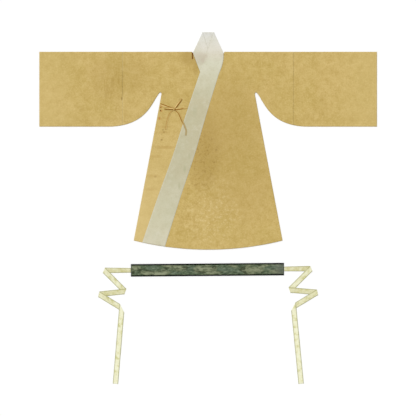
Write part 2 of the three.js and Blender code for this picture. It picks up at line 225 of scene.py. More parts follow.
def fill(edge, spacing):
    """Even triangles within a closed outline."""
    low, high = edge.min(axis=0), edge.max(axis=0)
    rows = np.arange(low[1], high[1], spacing * ROW_RISE)
    across = np.arange(low[0], high[0], spacing)
    grid = np.array([(x + (i % 2) * spacing / 2, y) for i, y in enumerate(rows) for x in across])
    grid = grid[inside(grid, edge)]
    near = [np.min(np.sum((edge - p) ** 2, axis=1)) for p in grid]
    grid = grid[np.array(near) > (KEEP_CLEAR * spacing) ** 2]
    points = [Vector(p) for p in np.vstack([edge, grid])]
    count = len(edge)
    loop = [(i, (i + 1) % count) for i in range(count)]
    found, _, faces, *_ = delaunay_2d_cdt(points, loop, [], 1, 1e-5)
    flat = np.array([tuple(p) for p in found])
    return flat, [f for f in faces if len(f) == 3]


class Cloth:
    """A middle surface made of patches and strips that share their points."""

    def __init__(self):
        self.points = []
        self.cuts = []
        self.faces = []

    def _add(self, points, cuts, faces):
        start = len(self.points)
        self.points += [tuple(p) for p in points]
        self.cuts += [tuple(c) for c in cuts]
        self.faces += [tuple(start + i for i in f) for f in faces]

    def patch(self, edge, spacing, height, up):
        flat, faces = fill(edge, spacing)
        turned = []
        for a, b, c in faces:
            (ax, ay), (bx, by), (cx, cy) = flat[a], flat[b], flat[c]
            area = (bx - ax) * (cy - ay) - (cx - ax) * (by - ay)
            turned.append((a, b, c) if (area > 0) == up else (a, c, b))
        z = height(flat[:, 0], flat[:, 1])
        self._add(np.column_stack([flat, z]), np.column_stack([flat, 0 * z]), turned)

    def strip(self, rows, along=None, shade=0.0):
        """Rows with the same count; the cut gives how far along and across each point lies, and how much
        painted shade the strip takes.
        """
        rows = np.array(rows, float)
        count, width = rows.shape[:2]
        if along is None:
            steps = np.linalg.norm(np.diff(rows.mean(axis=1), axis=0), axis=1)
            along = np.concatenate([[0], np.cumsum(steps)])
        shades = np.broadcast_to(shade, count)
        cuts = [(s, w, k) for s, k in zip(along, shades) for w in np.linspace(-1, 1, width)]
        faces = [
            (r * width + c, r * width + c + 1, (r + 1) * width + c + 1, (r + 1) * width + c)
            for r in range(count - 1)
            for c in range(width - 1)
        ]
        self._add(rows.reshape(-1, 3), cuts, faces)

    def merged(self):
        points = np.array(self.points)
        _, first, place = np.unique(
            np.round(points, 2), axis=0, return_index=True, return_inverse=True
        )
        place = place.reshape(-1)
        faces = []
        for face in self.faces:
            ring = [int(place[i]) for i in face]
            ring = [v for k, v in enumerate(ring) if v != ring[k - 1]]
            if len(set(ring)) > 2:
                faces.append(tuple(ring))
        return points[first], np.array(self.cuts)[first], faces


def thicken(points, cuts, faces, thickness):
    """The closed wall round a middle surface, with its rim rounded inside the surface's edge."""
    normals = np.zeros_like(points)
    for face in faces:
        a, b, c = points[face[0]], points[face[1]], points[face[2]]
        d = points[face[-1]]
        across = np.cross(c - a, d - b) if len(face) > 3 else np.cross(b - a, c - a)
        for i in face:
            normals[i] += across
    normals /= np.maximum(np.linalg.norm(normals, axis=1), 1e-12)[:, None]
    used = {(f[i - 1], f[i]) for f in faces for i in range(len(f))}
    border = [(a, b) for a, b in used if (b, a) not in used]
    outward = np.zeros_like(points)
    for a, b in border:
        out = np.cross(points[b] - points[a], normals[a])
        out /= max(float(np.linalg.norm(out)), 1e-12)
        outward[a] += out
        outward[b] += out
    length = np.linalg.norm(outward, axis=1)
    rim = np.nonzero(length > 1e-9)[0]
    outward[rim] /= length[rim, None]
    inset = points - outward * thickness * RIM_INSET
    count = len(points)
    middle = {int(i): 2 * count + k for k, i in enumerate(rim)}
    shell = np.vstack([inset + normals * thickness / 2, inset - normals * thickness / 2, points[rim]])
    walls = [*faces, *(tuple(count + i for i in reversed(f)) for f in faces)]
    for a, b in sorted(border):
        walls.append((b, a, middle[a], middle[b]))
        walls.append((middle[b], middle[a], a + count, b + count))
    return shell, np.vstack([cuts, cuts, cuts[rim]]), walls, 2 * len(border)


def add_object(name, data):
    made = bpy.data.objects.new(name, data)
    bpy.context.scene.collection.objects.link(made)
    return made


def make_piece(name, points, faces, material, cuts=None, rim_faces=0):
    """A mesh object from points in millimetres, at the origin, in metres; smooth but for its rim."""
    mesh = bpy.data.meshes.new(name)
    mesh.from_pydata((np.array(points) * MM).tolist(), [], faces)
    mesh.materials.append(material)
    soft = [True] * (len(faces) - rim_faces) + [False] * rim_faces
    mesh.polygons.foreach_set("use_smooth", soft)
    if cuts is not None:
        layer = mesh.attributes.new("cut", "FLOAT_VECTOR", "POINT")
        layer.data.foreach_set("vector", np.array(cuts, np.float32).ravel())
    mesh.update()
    return add_object(name, mesh)


def sew_up(name, cloth, thickness, material):
    points, cuts, faces = cloth.merged()
    points, cuts, faces, rim_faces = thicken(points, cuts, faces, thickness)
    return make_piece(name, points, faces, material, cuts, rim_faces)


def settle(piece, slot, *nodes):
    """Says what a finished piece rides on and stands for; the slot it is given is not used."""
    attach(piece, BODY)
    if nodes:
        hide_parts(*nodes)
    return piece


# ---- Creases: soft ridges, with troughs between them ----

Crease = namedtuple("Crease", "x y turn length width height")

LEFT_FRONT_CREASES = table(
    Crease,
    (330, 800, 62, 260, 26, 2.4), (300, 690, 80, 300, 30, 1.8), (410, 770, 40, 250, 34, 1.6),
    (225, 820, 50, 210, 24, 1.2), (460, 880, 84, 190, 22, 1.1), (250, 420, 74, 420, 40, 1.5),
    (120, 250, 82, 460, 48, 1.3), (330, 100, 79, 380, 36, 1.6), (10, 40, 88, 400, 44, 1.1),
    (-90, -80, 96, 300, 34, 1.2), (200, -60, 84, 330, 30, 1.4), (400, -70, 78, 270, 28, 1.5),
    (150, 640, 66, 240, 30, 1.0),
)
RIGHT_FRONT_CREASES = table(
    Crease,
    (-335, 795, 116, 270, 28, 2.2), (-300, 700, 98, 260, 26, 1.7), (-420, 775, 142, 240, 32, 1.5),
    (-215, 830, 128, 200, 24, 1.2), (-455, 870, 95, 200, 24, 1.0), (-345, 330, 100, 330, 26, 1.5),
    (-395, 60, 103, 300, 24, 1.3), (-300, 500, 95, 190, 22, 1.1),
)
LEFT_SLEEVE_CREASES = table(
    Crease,
    (690, 700, 85, 260, 26, 1.4), (820, 640, 97, 200, 30, 1.2), (950, 820, 88, 280, 34, 1.3),
    (760, 900, 12, 260, 26, 1.0), (1010, 610, 78, 160, 22, 1.1), (610, 600, 36, 170, 26, 1.5),
    (880, 960, 4, 300, 18, 0.9),
)
RIGHT_SLEEVE_CREASES = table(
    Crease,
    (-610, 790, 91, 170, 10, 0.9), (-648, 782, 88, 150, 11, 0.8), (-580, 800, 92, 130, 9, 0.7),
    (-720, 690, 96, 240, 28, 1.3), (-850, 650, 84, 210, 30, 1.2), (-960, 830, 93, 260, 32, 1.3),
    (-700, 580, 175, 120, 14, 0.8), (-600, 610, 146, 170, 26, 1.4), (-900, 955, 177, 290, 18, 0.9),
)
BACK_SCALE = 0.4
BACK_MOST = 0.4
TROUGH = 0.15
SEAM_DIP = 0.08
EDGE_DIP = 0.45
HEM_STEP = 0.25


def lift(x, y, creases, scale=1.0):
    """How far the cloth stands above its resting height: an uneven ripple and the placed creases."""
    ripple = 0.12 * np.sin(x / 14.0 + 1.3 * np.sin(y / 61.0)) * np.sin(y / 21.0 + np.sin(x / 47.0))
    ripple = ripple + 0.2 * np.sin(x / 53.0 - y / 87.0 + 1.1) * np.sin(y / 41.0 + x / 131.0)
    total = ripple * scale
    for crease in creases:
        turn = math.radians(crease.turn)
        dx, dy = x - crease.x, y - crease.y
        u = (dx * math.cos(turn) + dy * math.sin(turn)) / (crease.length / 2)
        bow = 0.12 * crease.length / 2 * (u**2 - 0.3)
        v = (-dx * math.sin(turn) + dy * math.cos(turn) - bow) / crease.width
        fade = np.clip(1 - u**2, 0, 1) ** 2
        profile = np.exp(-(v**2)) - TROUGH * np.exp(-((v / 2) ** 2))
        total = total + scale * crease.height * fade * profile
    return total


def smooth(t):
    t = np.clip(t, 0, 1)
    return t * t * (3 - 2 * t)


SEWN_EDGE = np.vstack(
    [
        walk([HEM_CORNER, SIDE_TOP], FINE / 2),
        bezier([SIDE_TOP, UNDERARM_TIP, SLEEVE_START], 8),
        sleeve_bottom(SLEEVE_START[0], SLEEVE_LEVEL[0]),
        walk([SLEEVE_LEVEL, (HALF_SPAN, SLEEVE_BOTTOM_Y)], FINE / 2),
    ]
)


def edge_distance(x, y):
    near = [np.min(np.hypot(SEWN_EDGE[:, 0] - abs(a), SEWN_EDGE[:, 1] - b)) for a, b in zip(x, y)]
    return np.array(near)


def edges(x, y):
    """Cloth is drawn down at its seams and sewn edges, and is double where it is turned up at a hem."""
    sewn = edge_distance(x, y)
    joined = np.abs(np.abs(x) - SLEEVE_SEAM_X)
    turned = np.minimum(y - hem_y(np.minimum(np.abs(x), HEM_CORNER[0])), HALF_SPAN - np.abs(x))
    turned = np.minimum(turned, sewn)
    low = SEAM_DIP * np.exp(-((joined / 5) ** 2)) + EDGE_DIP * np.exp(-((sewn / 5) ** 2))
    return HEM_STEP * smooth((20 - turned) / 8) - low


def left_front_z(x, y):
    """The outer front rides over the inner collar's edge and comes down beside it."""
    crest = free_x(y) + DRAPE_MARGIN
    down = smooth((x - crest) / DRAPE_RAMP)
    rest = OVER_Z + (FRONT_Z - OVER_Z) * down
    over = smooth(1 - (x - crest) / DRAPE_RAMP)
    raised = lift(x, y, LEFT_FRONT_CREASES)
    return rest + raised + (np.maximum(raised, 0) - raised) * over + edges(x, y)


def right_front_z(x, y):
    """The inner front's creases stop where the outer collar lies on it."""
    visible = smooth((-free_x(y) - x) / 30 + 0.2)
    return FRONT_Z + visible * lift(x, y, RIGHT_FRONT_CREASES) + edges(x, y)


def sleeve_front_z(x, y):
    creases = LEFT_SLEEVE_CREASES if np.mean(x) > 0 else RIGHT_SLEEVE_CREASES
    return FRONT_Z + lift(x, y, creases) + edges(x, y)


def back_z(x, y):
    """The back lies flatter, with a trace of the same creases away from its edges."""
    left = np.mean(x) > 0
    body = LEFT_FRONT_CREASES if left else RIGHT_FRONT_CREASES
    sleeve_creases = LEFT_SLEEVE_CREASES if left else RIGHT_SLEEVE_CREASES
    inner = smooth((SHOULDER_Y - 10 - y) / 40) * smooth((edge_distance(x, y) - 8) / 30)
    return BACK_Z + inner * np.clip(lift(x, y, body + sleeve_creases, BACK_SCALE), 0, BACK_MOST)


def fold_strip(top, front_z):
    """Rows round the shoulder's fold, from the back's edge to the front's."""
    x, y = top[:, 0], top[:, 1]
    low, high = back_z(x, y), front_z(x, y)
    rows = []
    for angle in np.linspace(0, math.pi, 9):
        out = y + (high - low) / 2 * math.sin(angle)
        rows.append(np.column_stack([x, out, low + (high - low) * (1 - math.cos(angle)) / 2]))
    return rows


# ---- Robe ----


def mirror(edge, side):
    return edge * np.array([side, 1])


def back_edge():
    middle = SEAM_GAP / 2
    neck_y = NECK[1] - SEAM_GAP
    neck = walk([(SHOULDER_NECK_X, SHOULDER_Y), (SHOULDER_NECK_X, neck_y), (middle, neck_y)], FINE)
    centre = walk([(middle, neck_y), (middle, float(hem_y(middle)))], FINE)
    hem = hem_between(middle, HEM_CORNER[0])
    return np.vstack([hem[:-1], side_and_sleeve(), shoulder()[:-1], neck[:-1], centre[:-1]])


def half_body(name, side, front_edge, front_z, material):
    """One half of the body: back, shoulder fold and front in one length."""
    cloth = Cloth()
    top = mirror(shoulder(), side)
    rows = fold_strip(top, front_z)
    cloth.patch(mirror(back_edge(), side), COARSE, back_z, up=True)
    cloth.strip(rows if side < 0 else [row[::-1] for row in rows])
    cloth.patch(front_edge, FINE, front_z, up=False)
    return sew_up(name, cloth, CLOTH, material)


def front_edge(side, layer):
    """The outline of a front: hem, side, sleeve, shoulder, neck and the collar's seam."""
    foot_x, foot_y = on_hem(lambda y: seam_x(layer, y))
    heights = np.linspace(SEAM_TOP_Y, foot_y, 180)[:-1]
    seam = np.column_stack([seam_x(layer, heights) + SEAM_GAP, heights])
    outline = [
        hem_between(foot_x + SEAM_GAP, HEM_CORNER[0])[:-1],
        side_and_sleeve(),
        shoulder()[:-1],
        neck_edge(layer)[::-1][:-1],
        seam,
    ]
    return mirror(np.vstack(outline), side)


def sleeve(name, side, material):
    """A sleeve's extension, folded along its top; its lower edges lie close together."""
    start = SLEEVE_SEAM_X + SEAM_GAP / 2
    top = walk([(HALF_SPAN, SHOULDER_Y), (start, SHOULDER_Y)], FINE)
    start_y = float(np.interp(start, *SLEEVE_CURVE.T))
    straight = walk([SLEEVE_LEVEL, (HALF_SPAN, SLEEVE_BOTTOM_Y)], FINE)
    bottom = [sleeve_bottom(start, SLEEVE_LEVEL[0])[:-1], straight[:-1]]
    cuff = walk([(HALF_SPAN, SLEEVE_BOTTOM_Y), (HALF_SPAN, SHOULDER_Y)], FINE)[:-1]
    seam = walk([(start, SHOULDER_Y), (start, start_y)], FINE)[:-1]
    edge = mirror(np.vstack([*bottom, cuff, top[:-1], seam]), side)
    rows = fold_strip(mirror(top, side), sleeve_front_z)
    cloth = Cloth()
    cloth.patch(edge, COARSE, back_z, up=True)
    cloth.strip(rows if side < 0 else [row[::-1] for row in rows])
    cloth.patch(edge, FINE, sleeve_front_z, up=False)
    return sew_up(name, cloth, CLOTH, material)


# ---- Collar ----

BandStop = namedtuple("BandStop", "free_y seam_y outer inner")
BAND_STOPS = [
    BandStop(975, 858, BAND_OUTER_Z[0], BAND_INNER_Z[0]),
    BandStop(900, 800, BAND_OUTER_Z[0], BAND_INNER_Z[1]),
    BandStop(790, 700, BAND_OUTER_Z[0], BAND_INNER_Z[1]),
    BandStop(680, 600, BAND_OUTER_Z[1], BAND_INNER_Z[1]),
    BandStop(260, 200, BAND_OUTER_Z[1], BAND_INNER_Z[1]),
]


def band_ends(layer):
    """Pairs of edge points down one front, free edge first, for the band that runs to -X."""
    pairs = []
    curve = neck_curve(layer)
    steps = len(curve) - 1
    high = BAND_OUTER_Z[0] if layer == "outer" else BAND_INNER_Z[0]
    for k, (x, y) in enumerate(curve[::-1]):
        free_y = COLLAR_TOP_Y + (BAND_STOPS[0].free_y - COLLAR_TOP_Y) * k / steps
        pairs.append(((-free_x(free_y), free_y, high), (x, y, high)))
    seam_hem, free_hem = on_hem(lambda y: seam_x(layer, y)), on_hem(lambda y: -free_x(y))
    stops = [*BAND_STOPS, BandStop(free_hem[1], seam_hem[1], BAND_OUTER_Z[1], BAND_INNER_Z[1])]
    for above, below in zip(stops, stops[1:]):
        count = max(2, round((above.seam_y - below.seam_y) / FINE))
        for t in np.linspace(0, 1, count + 1)[1:]:
            free_y = above.free_y + (below.free_y - above.free_y) * t
            seam_y = above.seam_y + (below.seam_y - above.seam_y) * t
            z = getattr(above, layer) + (getattr(below, layer) - getattr(above, layer)) * smooth(t)
            free = (-free_x(free_y) + sway(layer, free_y), free_y, z)
            pairs.append((free, (seam_x(layer, seam_y), seam_y, z)))
    return [(np.array(free), np.array(seam)) for free, seam in pairs]


BAND_ACROSS = np.linspace(0, 1, 21)
BAND_CREASES = table(
    Crease,
    (-20, 880, 55, 170, 16, 0.8), (30, 760, 100, 200, 18, 0.7), (-130, 480, 62, 260, 22, 0.9),
    (-215, 250, 76, 300, 24, 0.8), (-300, -60, 74, 300, 20, 0.9), (-255, 40, 60, 200, 18, 0.6),
)
NECK_CROWN = 0.2
NECK_ROWS = 14


def band_row(free, seam):
    return free + (seam - free) * BAND_ACROSS[:, None]


def level(row, z):
    """The same row, flat at one height."""
    return np.column_stack([row[:, :2], np.full(len(row), z)])


def neck_fold(row, low, high):
    """Rows round one of the collar's slanting neck folds, from the neck's back up to the front."""
    line = row[-1, :2] - row[0, :2]
    out = np.array([abs(line[1]), abs(line[0])]) / np.linalg.norm(line)
    out[0] *= np.sign(row[-1, 0])
    rows = []
    for angle in np.linspace(0, math.pi, 9)[1:-1]:
        step = row.copy()
        step[:, :2] += out * (high - low) / 2 * math.sin(angle)
        step[:, 2] = low + (high - low) * (1 - math.cos(angle)) / 2
        rows.append(step)
    return rows


def collar(material):
    """One doubled band: up the inner front, round the neck's back and down the outer front."""
    flip = np.array([-1, 1, 1])
    outer = [band_row(f, s) for f, s in band_ends("outer")]
    inner = [band_row(f, s) * flip for f, s in band_ends("inner")]
    for row in outer:
        row[:, 2] += np.clip(lift(row[:, 0], row[:, 1], BAND_CREASES), 0, 1)
    left, right = level(inner[0], BAND_BACK_Z), level(outer[0], BAND_BACK_Z)
    outer[0] = level(outer[0], BAND_OUTER_Z[0])
    shares = np.linspace(0, 1, NECK_ROWS)
    back = [left + (right - left) * t for t in shares]
    for t, row in zip(shares, back):
        row[:, 2] += NECK_CROWN * math.sin(math.pi * t)
    rows = [
        *inner[::-1],
        *neck_fold(left, BAND_BACK_Z, BAND_INNER_Z[0])[::-1],
        *back,
        *neck_fold(right, BAND_BACK_Z, BAND_OUTER_Z[0]),
        *outer,
    ]
    cloth = Cloth()
    cloth.strip(rows)
    return sew_up("collar_band", cloth, BAND, material)


# ---- Ties and their bow ----


def smooth_path(points, count):
    """A Catmull-Rom curve through some points."""
    p = np.array([points[0], *points, points[-1]], float)
    out = []
    for i in range(1, len(p) - 2):
        for t in np.linspace(0, 1, count, endpoint=False):
            a = 2 * p[i]
            b = p[i + 1] - p[i - 1]
            c = 2 * p[i - 1] - 5 * p[i] + 4 * p[i + 1] - p[i + 2]
            d = 3 * p[i] - p[i - 1] - 3 * p[i + 1] + p[i + 2]
            out.append((a + b * t + c * t**2 + d * t**3) / 2)
    return np.array([*out, p[-2]])


TIE_WIDTH = 11
TIE_ARCH = 0.8
TIE_CLEARANCE = 0.2
KNOT = (-216.5, 631, 6.6)
KNOT_HALF = 6
KNOT_DEPTH = 6.8
KNOT_HEIGHT = 3.4
KNOT_TAPER = 0.35
KNOT_CREASE = 0.35
KNOT_TURN = -8
KNOT_SHADE = 0.75


def top_under(x, y):
    """How high the cloth lies under the bow: the inner front, or the outer collar on it."""
    robe_top = right_front_z(x, y) + CLOTH / 2
    band_top = np.full(len(x), BAND_OUTER_Z[0] + BAND / 2)
    return np.where(x > -free_x(y) + sway("outer", y) - 5, np.maximum(band_top, robe_top), robe_top)


def narrow(name, rows, run, shade, material):
    """A sewn-up tie and its flat size, from its rows and how far along each one lies."""
    cloth = Cloth()
    cloth.strip(rows, along=run, shade=shade)
    return sew_up(name, cloth, RIBBON, material), (TIE_WIDTH * MM, round(float(run[-1]) * MM, 4))


def tie(name, points, material, shade, pinch=0.0):
    """A narrow tie along a path of (x, y, rise), arched, and pinched at its start; it lies on the cloth."""
    path = smooth_path(points, 8)
    along = np.gradient(path, axis=0)
    along[:, 2] = 0
    along /= np.linalg.norm(along, axis=1)[:, None]
    left = np.column_stack([-along[:, 1], along[:, 0], np.zeros(len(path))])
    shares = np.linspace(0, 1, len(path))
    across = np.linspace(-0.5, 0.5, 7)
    reach = TIE_WIDTH * (1 - pinch * (1 - smooth(shares * 3)))
    spots = path[:, None, :] + left[:, None, :] * (across[None, :] * reach[:, None])[:, :, None]
    ground = np.array([top_under(row[:, 0], row[:, 1]).max() for row in spots])
    ground = np.convolve(np.pad(ground, 3, mode="edge"), np.full(7, 1 / 7), "valid")
    low = ground + path[:, 2] + RIBBON / 2 + TIE_CLEARANCE
    spots[:, :, 2] = low[:, None] + TIE_ARCH * np.cos(across * math.pi)
    steps = np.linalg.norm(np.diff(path[:, :2], axis=0), axis=1)
    run = np.concatenate([[0], np.cumsum(steps)])
    piece, flat = narrow(name, spots, run, np.interp(shares, (0, 0.5, 1), shade), material)
    return piece


def knot(name, centre, material):
    """The bow's knot: one turn of tie, wound over the ties that meet in it."""
    rows = []
    across = np.linspace(-1, 1, 9)
    swell = 1 - KNOT_TAPER * across**2
    x = across * KNOT_HALF
    for angle in np.linspace(0, 2 * math.pi, 28):
        y = KNOT_DEPTH * swell * math.cos(angle)
        z = KNOT_HEIGHT * swell * math.sin(angle)
        crease = KNOT_CREASE * np.cos(across * 9 + math.sin(angle) * 2)
        rows.append(np.column_stack([x, y + 0 * x, z + crease * max(math.sin(angle), 0)]))
    turn = math.radians(KNOT_TURN)
    spin = np.array([[math.cos(turn), math.sin(turn), 0], [-math.sin(turn), math.cos(turn), 0], [0, 0, 1]])
    cloth = Cloth()
    cloth.strip([row @ spin + np.array(centre) for row in rows], shade=KNOT_SHADE)
    piece = sew_up(name, cloth, RIBBON, material)
    return piece


TIES = {
    "tie_from_side": ((-306, 664, 0), (-280, 655, 0), (-256, 646, 0.2), (-222, 636.5, 1.5)),
    "tie_from_collar": ((-132, 641, 0), (-155, 638.5, 0), (-180, 634.5, 0.2), (-212, 632, 1.5)),
    "tail_left": (
        (-224, 624, 1),
        (-242, 609, 0.4),
        (-254, 582, 0),
        (-262, 553, 0.2),
        (-266, 524, 0),
        (-269, 502, 0),
    ),
    "tail_right": (
        (-208, 624, 1),
        (-190, 608, 0.4),
        (-179, 588, 0),
        (-169, 564, 0.2),
        (-157, 540, 0),
        (-146, 514, 0.2),
        (-140, 492, 0),
        (-143, 464, 0),
    ),
}


def bow(material):
    """Two ties, one from the side seam and one from the collar's edge, tied in a bow."""
    side, front, left, right = TIES.values()
    return [
        (tie("tie_from_side", side, material, (1.0, 0.95, 0.3)), "tie_side"),
        (tie("tie_from_collar", front, material, (0.1, 0.6, 1.0)), "tie_front"),
        (tie("tail_left", left, material, (-0.5, -0.42, -0.42), 0.45), "bow_tail_left"),
        (tie("tail_right", right, material, (-0.72, -0.72, -0.7), 0.4), "bow_tail_right"),
        (loop("loop_left", (-222, 633.5), (-279, 635), material, 1.0), "bow_loop_left"),
        (loop("loop_right", (-213, 637), (-169, 697), material, -1.0), "bow_loop_right"),
        (knot("knot", KNOT, material), "bow_knot"),
    ]


LOOP_PROFILE = [
    (0.0, 3.0),
    (0.25, 2.0),
    (0.55, 1.1),
    (0.85, 1.0),
    (0.97, 1.6),
    (1.0, 2.6),
    (0.96, 3.7),
    (0.84, 4.2),
    (0.55, 4.3),
    (0.25, 4.4),
    (0.0, 4.6),
]
LOOP_FADE = 0.4


def loop(name, root, tip, material, shade):
    """A bow's loop: out along the robe, round a soft bend and back to the knot on top."""
    root, tip = np.array(root, float), np.array(tip, float)
    out = tip - root
    reach = float(np.linalg.norm(out))
    out /= reach
    side = np.array([-out[1], out[0]])
    ends = np.array([root, tip])
    ground = float(top_under(ends[:, 0], ends[:, 1]).max())
    across = np.linspace(-0.5, 0.5, 7)
    spine = smooth_path([(a, z, 0) for a, z in LOOP_PROFILE], 5)
    rows = []
    for a, z, _ in spine:
        width = TIE_WIDTH * (0.55 + 0.45 * smooth(a * 3))
        flat = root + out * reach * a + side * (across * width)[:, None]
        rows.append(np.column_stack([flat, ground + z + TIE_ARCH * (np.cos(across * math.pi) - 0.5)]))
    run = np.concatenate([[0], np.cumsum(np.hypot(np.diff(spine[:, 0] * reach), np.diff(spine[:, 1])))])
    piece, flat = narrow(name, rows, run, shade * (1 - LOOP_FADE * spine[:, 0] ** 2), material)
    return piece


# ---- Belt ----


def belt_place(points):
    """Turns and moves points from the belt's own frame to where it lies."""
    c, s = math.cos(BELT_TILT), math.sin(BELT_TILT)
    points = np.array(points, float)
    x, y, z = points.T
    return np.column_stack([x * c - y * s + BELT_CENTRE[0], x * s + y * c + BELT_CENTRE[1], z])


BELT_CLOTH = 1.5
BINDING = 0.6
EDGE_TURN = 1.6
FACE_Z = 3.95
UNDER_Z = 0.55
TURN_Z = 2.3
TURN_REACH = 1.75


def belt_field(material):
    """The brocade band, very slightly waved along its length."""
    length, height = BELT_SIZE
    half = height / 2 - EDGE_TURN
    rows = []
    for x in np.linspace(-length / 2, length / 2, 160):
        y = np.linspace(-half, half, 15)
        z = BELT_Z + 0.35 * np.cos(y / half * math.pi / 2) + 0.12 * np.sin(x / 37 + np.sin(x / 90))
        rows.append(belt_place(np.column_stack([0 * y + x, y, z])))
    cloth = Cloth()
    cloth.strip(rows)
    return sew_up("belt_brocade", cloth, BELT_CLOTH, material)


def belt_edge(name, side, material):
    """Binding folded over the belt's long edge, pulled a little uneven by its stitches."""
    length, height = BELT_SIZE
    rows = []
    for x in np.linspace(-length / 2, length / 2, 200):
        face = BINDING_FACE + 0.35 * math.sin(x / 21) + 0.25 * math.sin(x / 7.3)
        inner, reach = height / 2 - face, face - EDGE_TURN
        around = []
        for share in np.linspace(0, 1, 6):
            around.append((inner + reach * share, FACE_Z + 0.3 * math.sin(share * 2.6)))
        for angle in np.linspace(90, -90, 9)[1:-1]:
            turn = math.radians(angle)
            out = height / 2 - EDGE_TURN + EDGE_TURN * math.cos(turn)
            around.append((out, TURN_Z + TURN_REACH * math.sin(turn)))
        around += [(inner + reach * share, UNDER_Z) for share in np.linspace(1, 0, 4)]
        rows.append(belt_place([(x, side * y, z) for y, z in around]))
    if side > 0:
        rows = [row[::-1] for row in rows]
    cloth = Cloth()
    cloth.strip(rows)
    return sew_up(name, cloth, BINDING, material)


LEFT_RIBBON = [(-495, -399), (-666, -399), (-531, -534), (-699, -552), (-552.5, -642), (-593.2, -1125.1)]
RIGHT_RIBBON = [(486, -390), (659, -388), (522, -525), (699, -539.5), (546.5, -631.5), (595.2, -1124.8)]
RIBBON_WIDTH = 34
RIBBON_GATHERED = 29
RIBBON_LOW = 0.6
RIBBON_STEP = 1.5
RIBBON_ACROSS = np.linspace(1, -1, 11)


def unit(v):
    return v / np.linalg.norm(v)


def left_of(v):
    return np.array([-v[1], v[0]])


# How much painted shade each stretch of a ribbon takes, in the order they are laid.
STRETCH_SHADES = (0.65, 0.2, 0.5, 0.25, 0.0)


def ribbon(name, path, material):
    """A flat ribbon with a true fold at each corner; each next stretch lies over the last."""
    corners = [np.array(p, float) for p in path]
    ways = [unit(b - a) for a, b in zip(corners, corners[1:])]
    laid = []
    run = 0.0
    flip = 1

    def cut(start, way, through, square, width=RIBBON_WIDTH):
        ends = []
        for side in (flip, -flip):
            edge = start + left_of(way) * side * width / 2
            ends.append(edge + way * np.dot(through - edge, square) / np.dot(way, square))
        return ends

    before = None
    for i, way in enumerate(ways):
        start, end = corners[i], corners[i + 1]
        first = last if i else cut(start, way, start, way, RIBBON_GATHERED)
        if i + 1 < len(ways):
            line = unit(way + ways[i + 1])
            square = left_of(line)
            square = square * np.sign(np.dot(square, way))
        else:
            square = way
        last = cut(start, way, end, square)
        length = float(np.linalg.norm(end - start))
        count = max(6, round(length / 5))
        for k in range(count + 1):
            t = k / count
            a = first[0] + (last[0] - first[0]) * t
            b = first[1] + (last[1] - first[1]) * t
            flat = a + (b - a) * ((1 - RIBBON_ACROSS) / 2)[:, None]
            z = np.full(len(flat), RIBBON_LOW)
            if before is not None:
                square_up = left_of(before)
                square_up = square_up * np.sign(np.dot(way, square_up))
                past = (flat - start) @ square_up - RIBBON_WIDTH / 2
                z += RIBBON_STEP * (1 - smooth((past - 2) / 12))
            settle_down = math.sin(math.pi * t) ** 2
            wave = 0.5 + 0.5 * math.sin(length * t / 31 + i * 1.7)
            z += settle_down * (0.9 * wave + 0.5 * wave * np.cos(RIBBON_ACROSS * math.pi / 2))
            laid.append((np.column_stack([flat, z]), run + length * t, STRETCH_SHADES[i]))
        run += length
        if i + 1 < len(ways):
            fold = laid[-1][0]
            for angle in np.linspace(0, math.pi, 7)[1:-1]:
                turned = fold.copy()
                turned[:, :2] += square * RIBBON_STEP / 2 * math.sin(angle)
                turned[:, 2] = RIBBON_LOW + RIBBON_STEP * (1 - math.cos(angle)) / 2
                laid.append((turned, run, STRETCH_SHADES[i]))
            flip = -flip
        before = way
    cloth = Cloth()
    cloth.strip(*zip(*laid))
    return sew_up(name, cloth, RIBBON, material)


# ---- Shader tools ----


class Value:
    """A socket that can be used in plain arithmetic, which adds its Math nodes."""

    def __init__(self, finish, socket):
        self.finish = finish
        self.socket = socket

    def maths(self, operation, *others):
        inputs = dict(enumerate((self, *others)))
        return self.finish.node("ShaderNodeMath", {"operation": operation}, inputs)

    def __add__(self, other):
        return self.maths("ADD", other)

    def __sub__(self, other):
        return self.maths("SUBTRACT", other)

    def __rsub__(self, other):
        return self.maths("MULTIPLY", -1) + other

    def __mul__(self, other):
        return self.maths("MULTIPLY", other)

    def __truediv__(self, other):
        return self.maths("DIVIDE", other)

    def __abs__(self):
        return self.maths("ABSOLUTE")

    def sine(self):
        return self.maths("SINE")

    def fade(self, start, end):
        """0 at start and 1 at end, smooth between."""
        return self.finish.node(
            "ShaderNodeMapRange",
            {"interpolation_type": "SMOOTHSTEP"},
            {"Value": self, "From Min": start, "From Max": end},
            "Result",
        )


NOISE_SHIFT = (2.7, 1.9, 0.6)


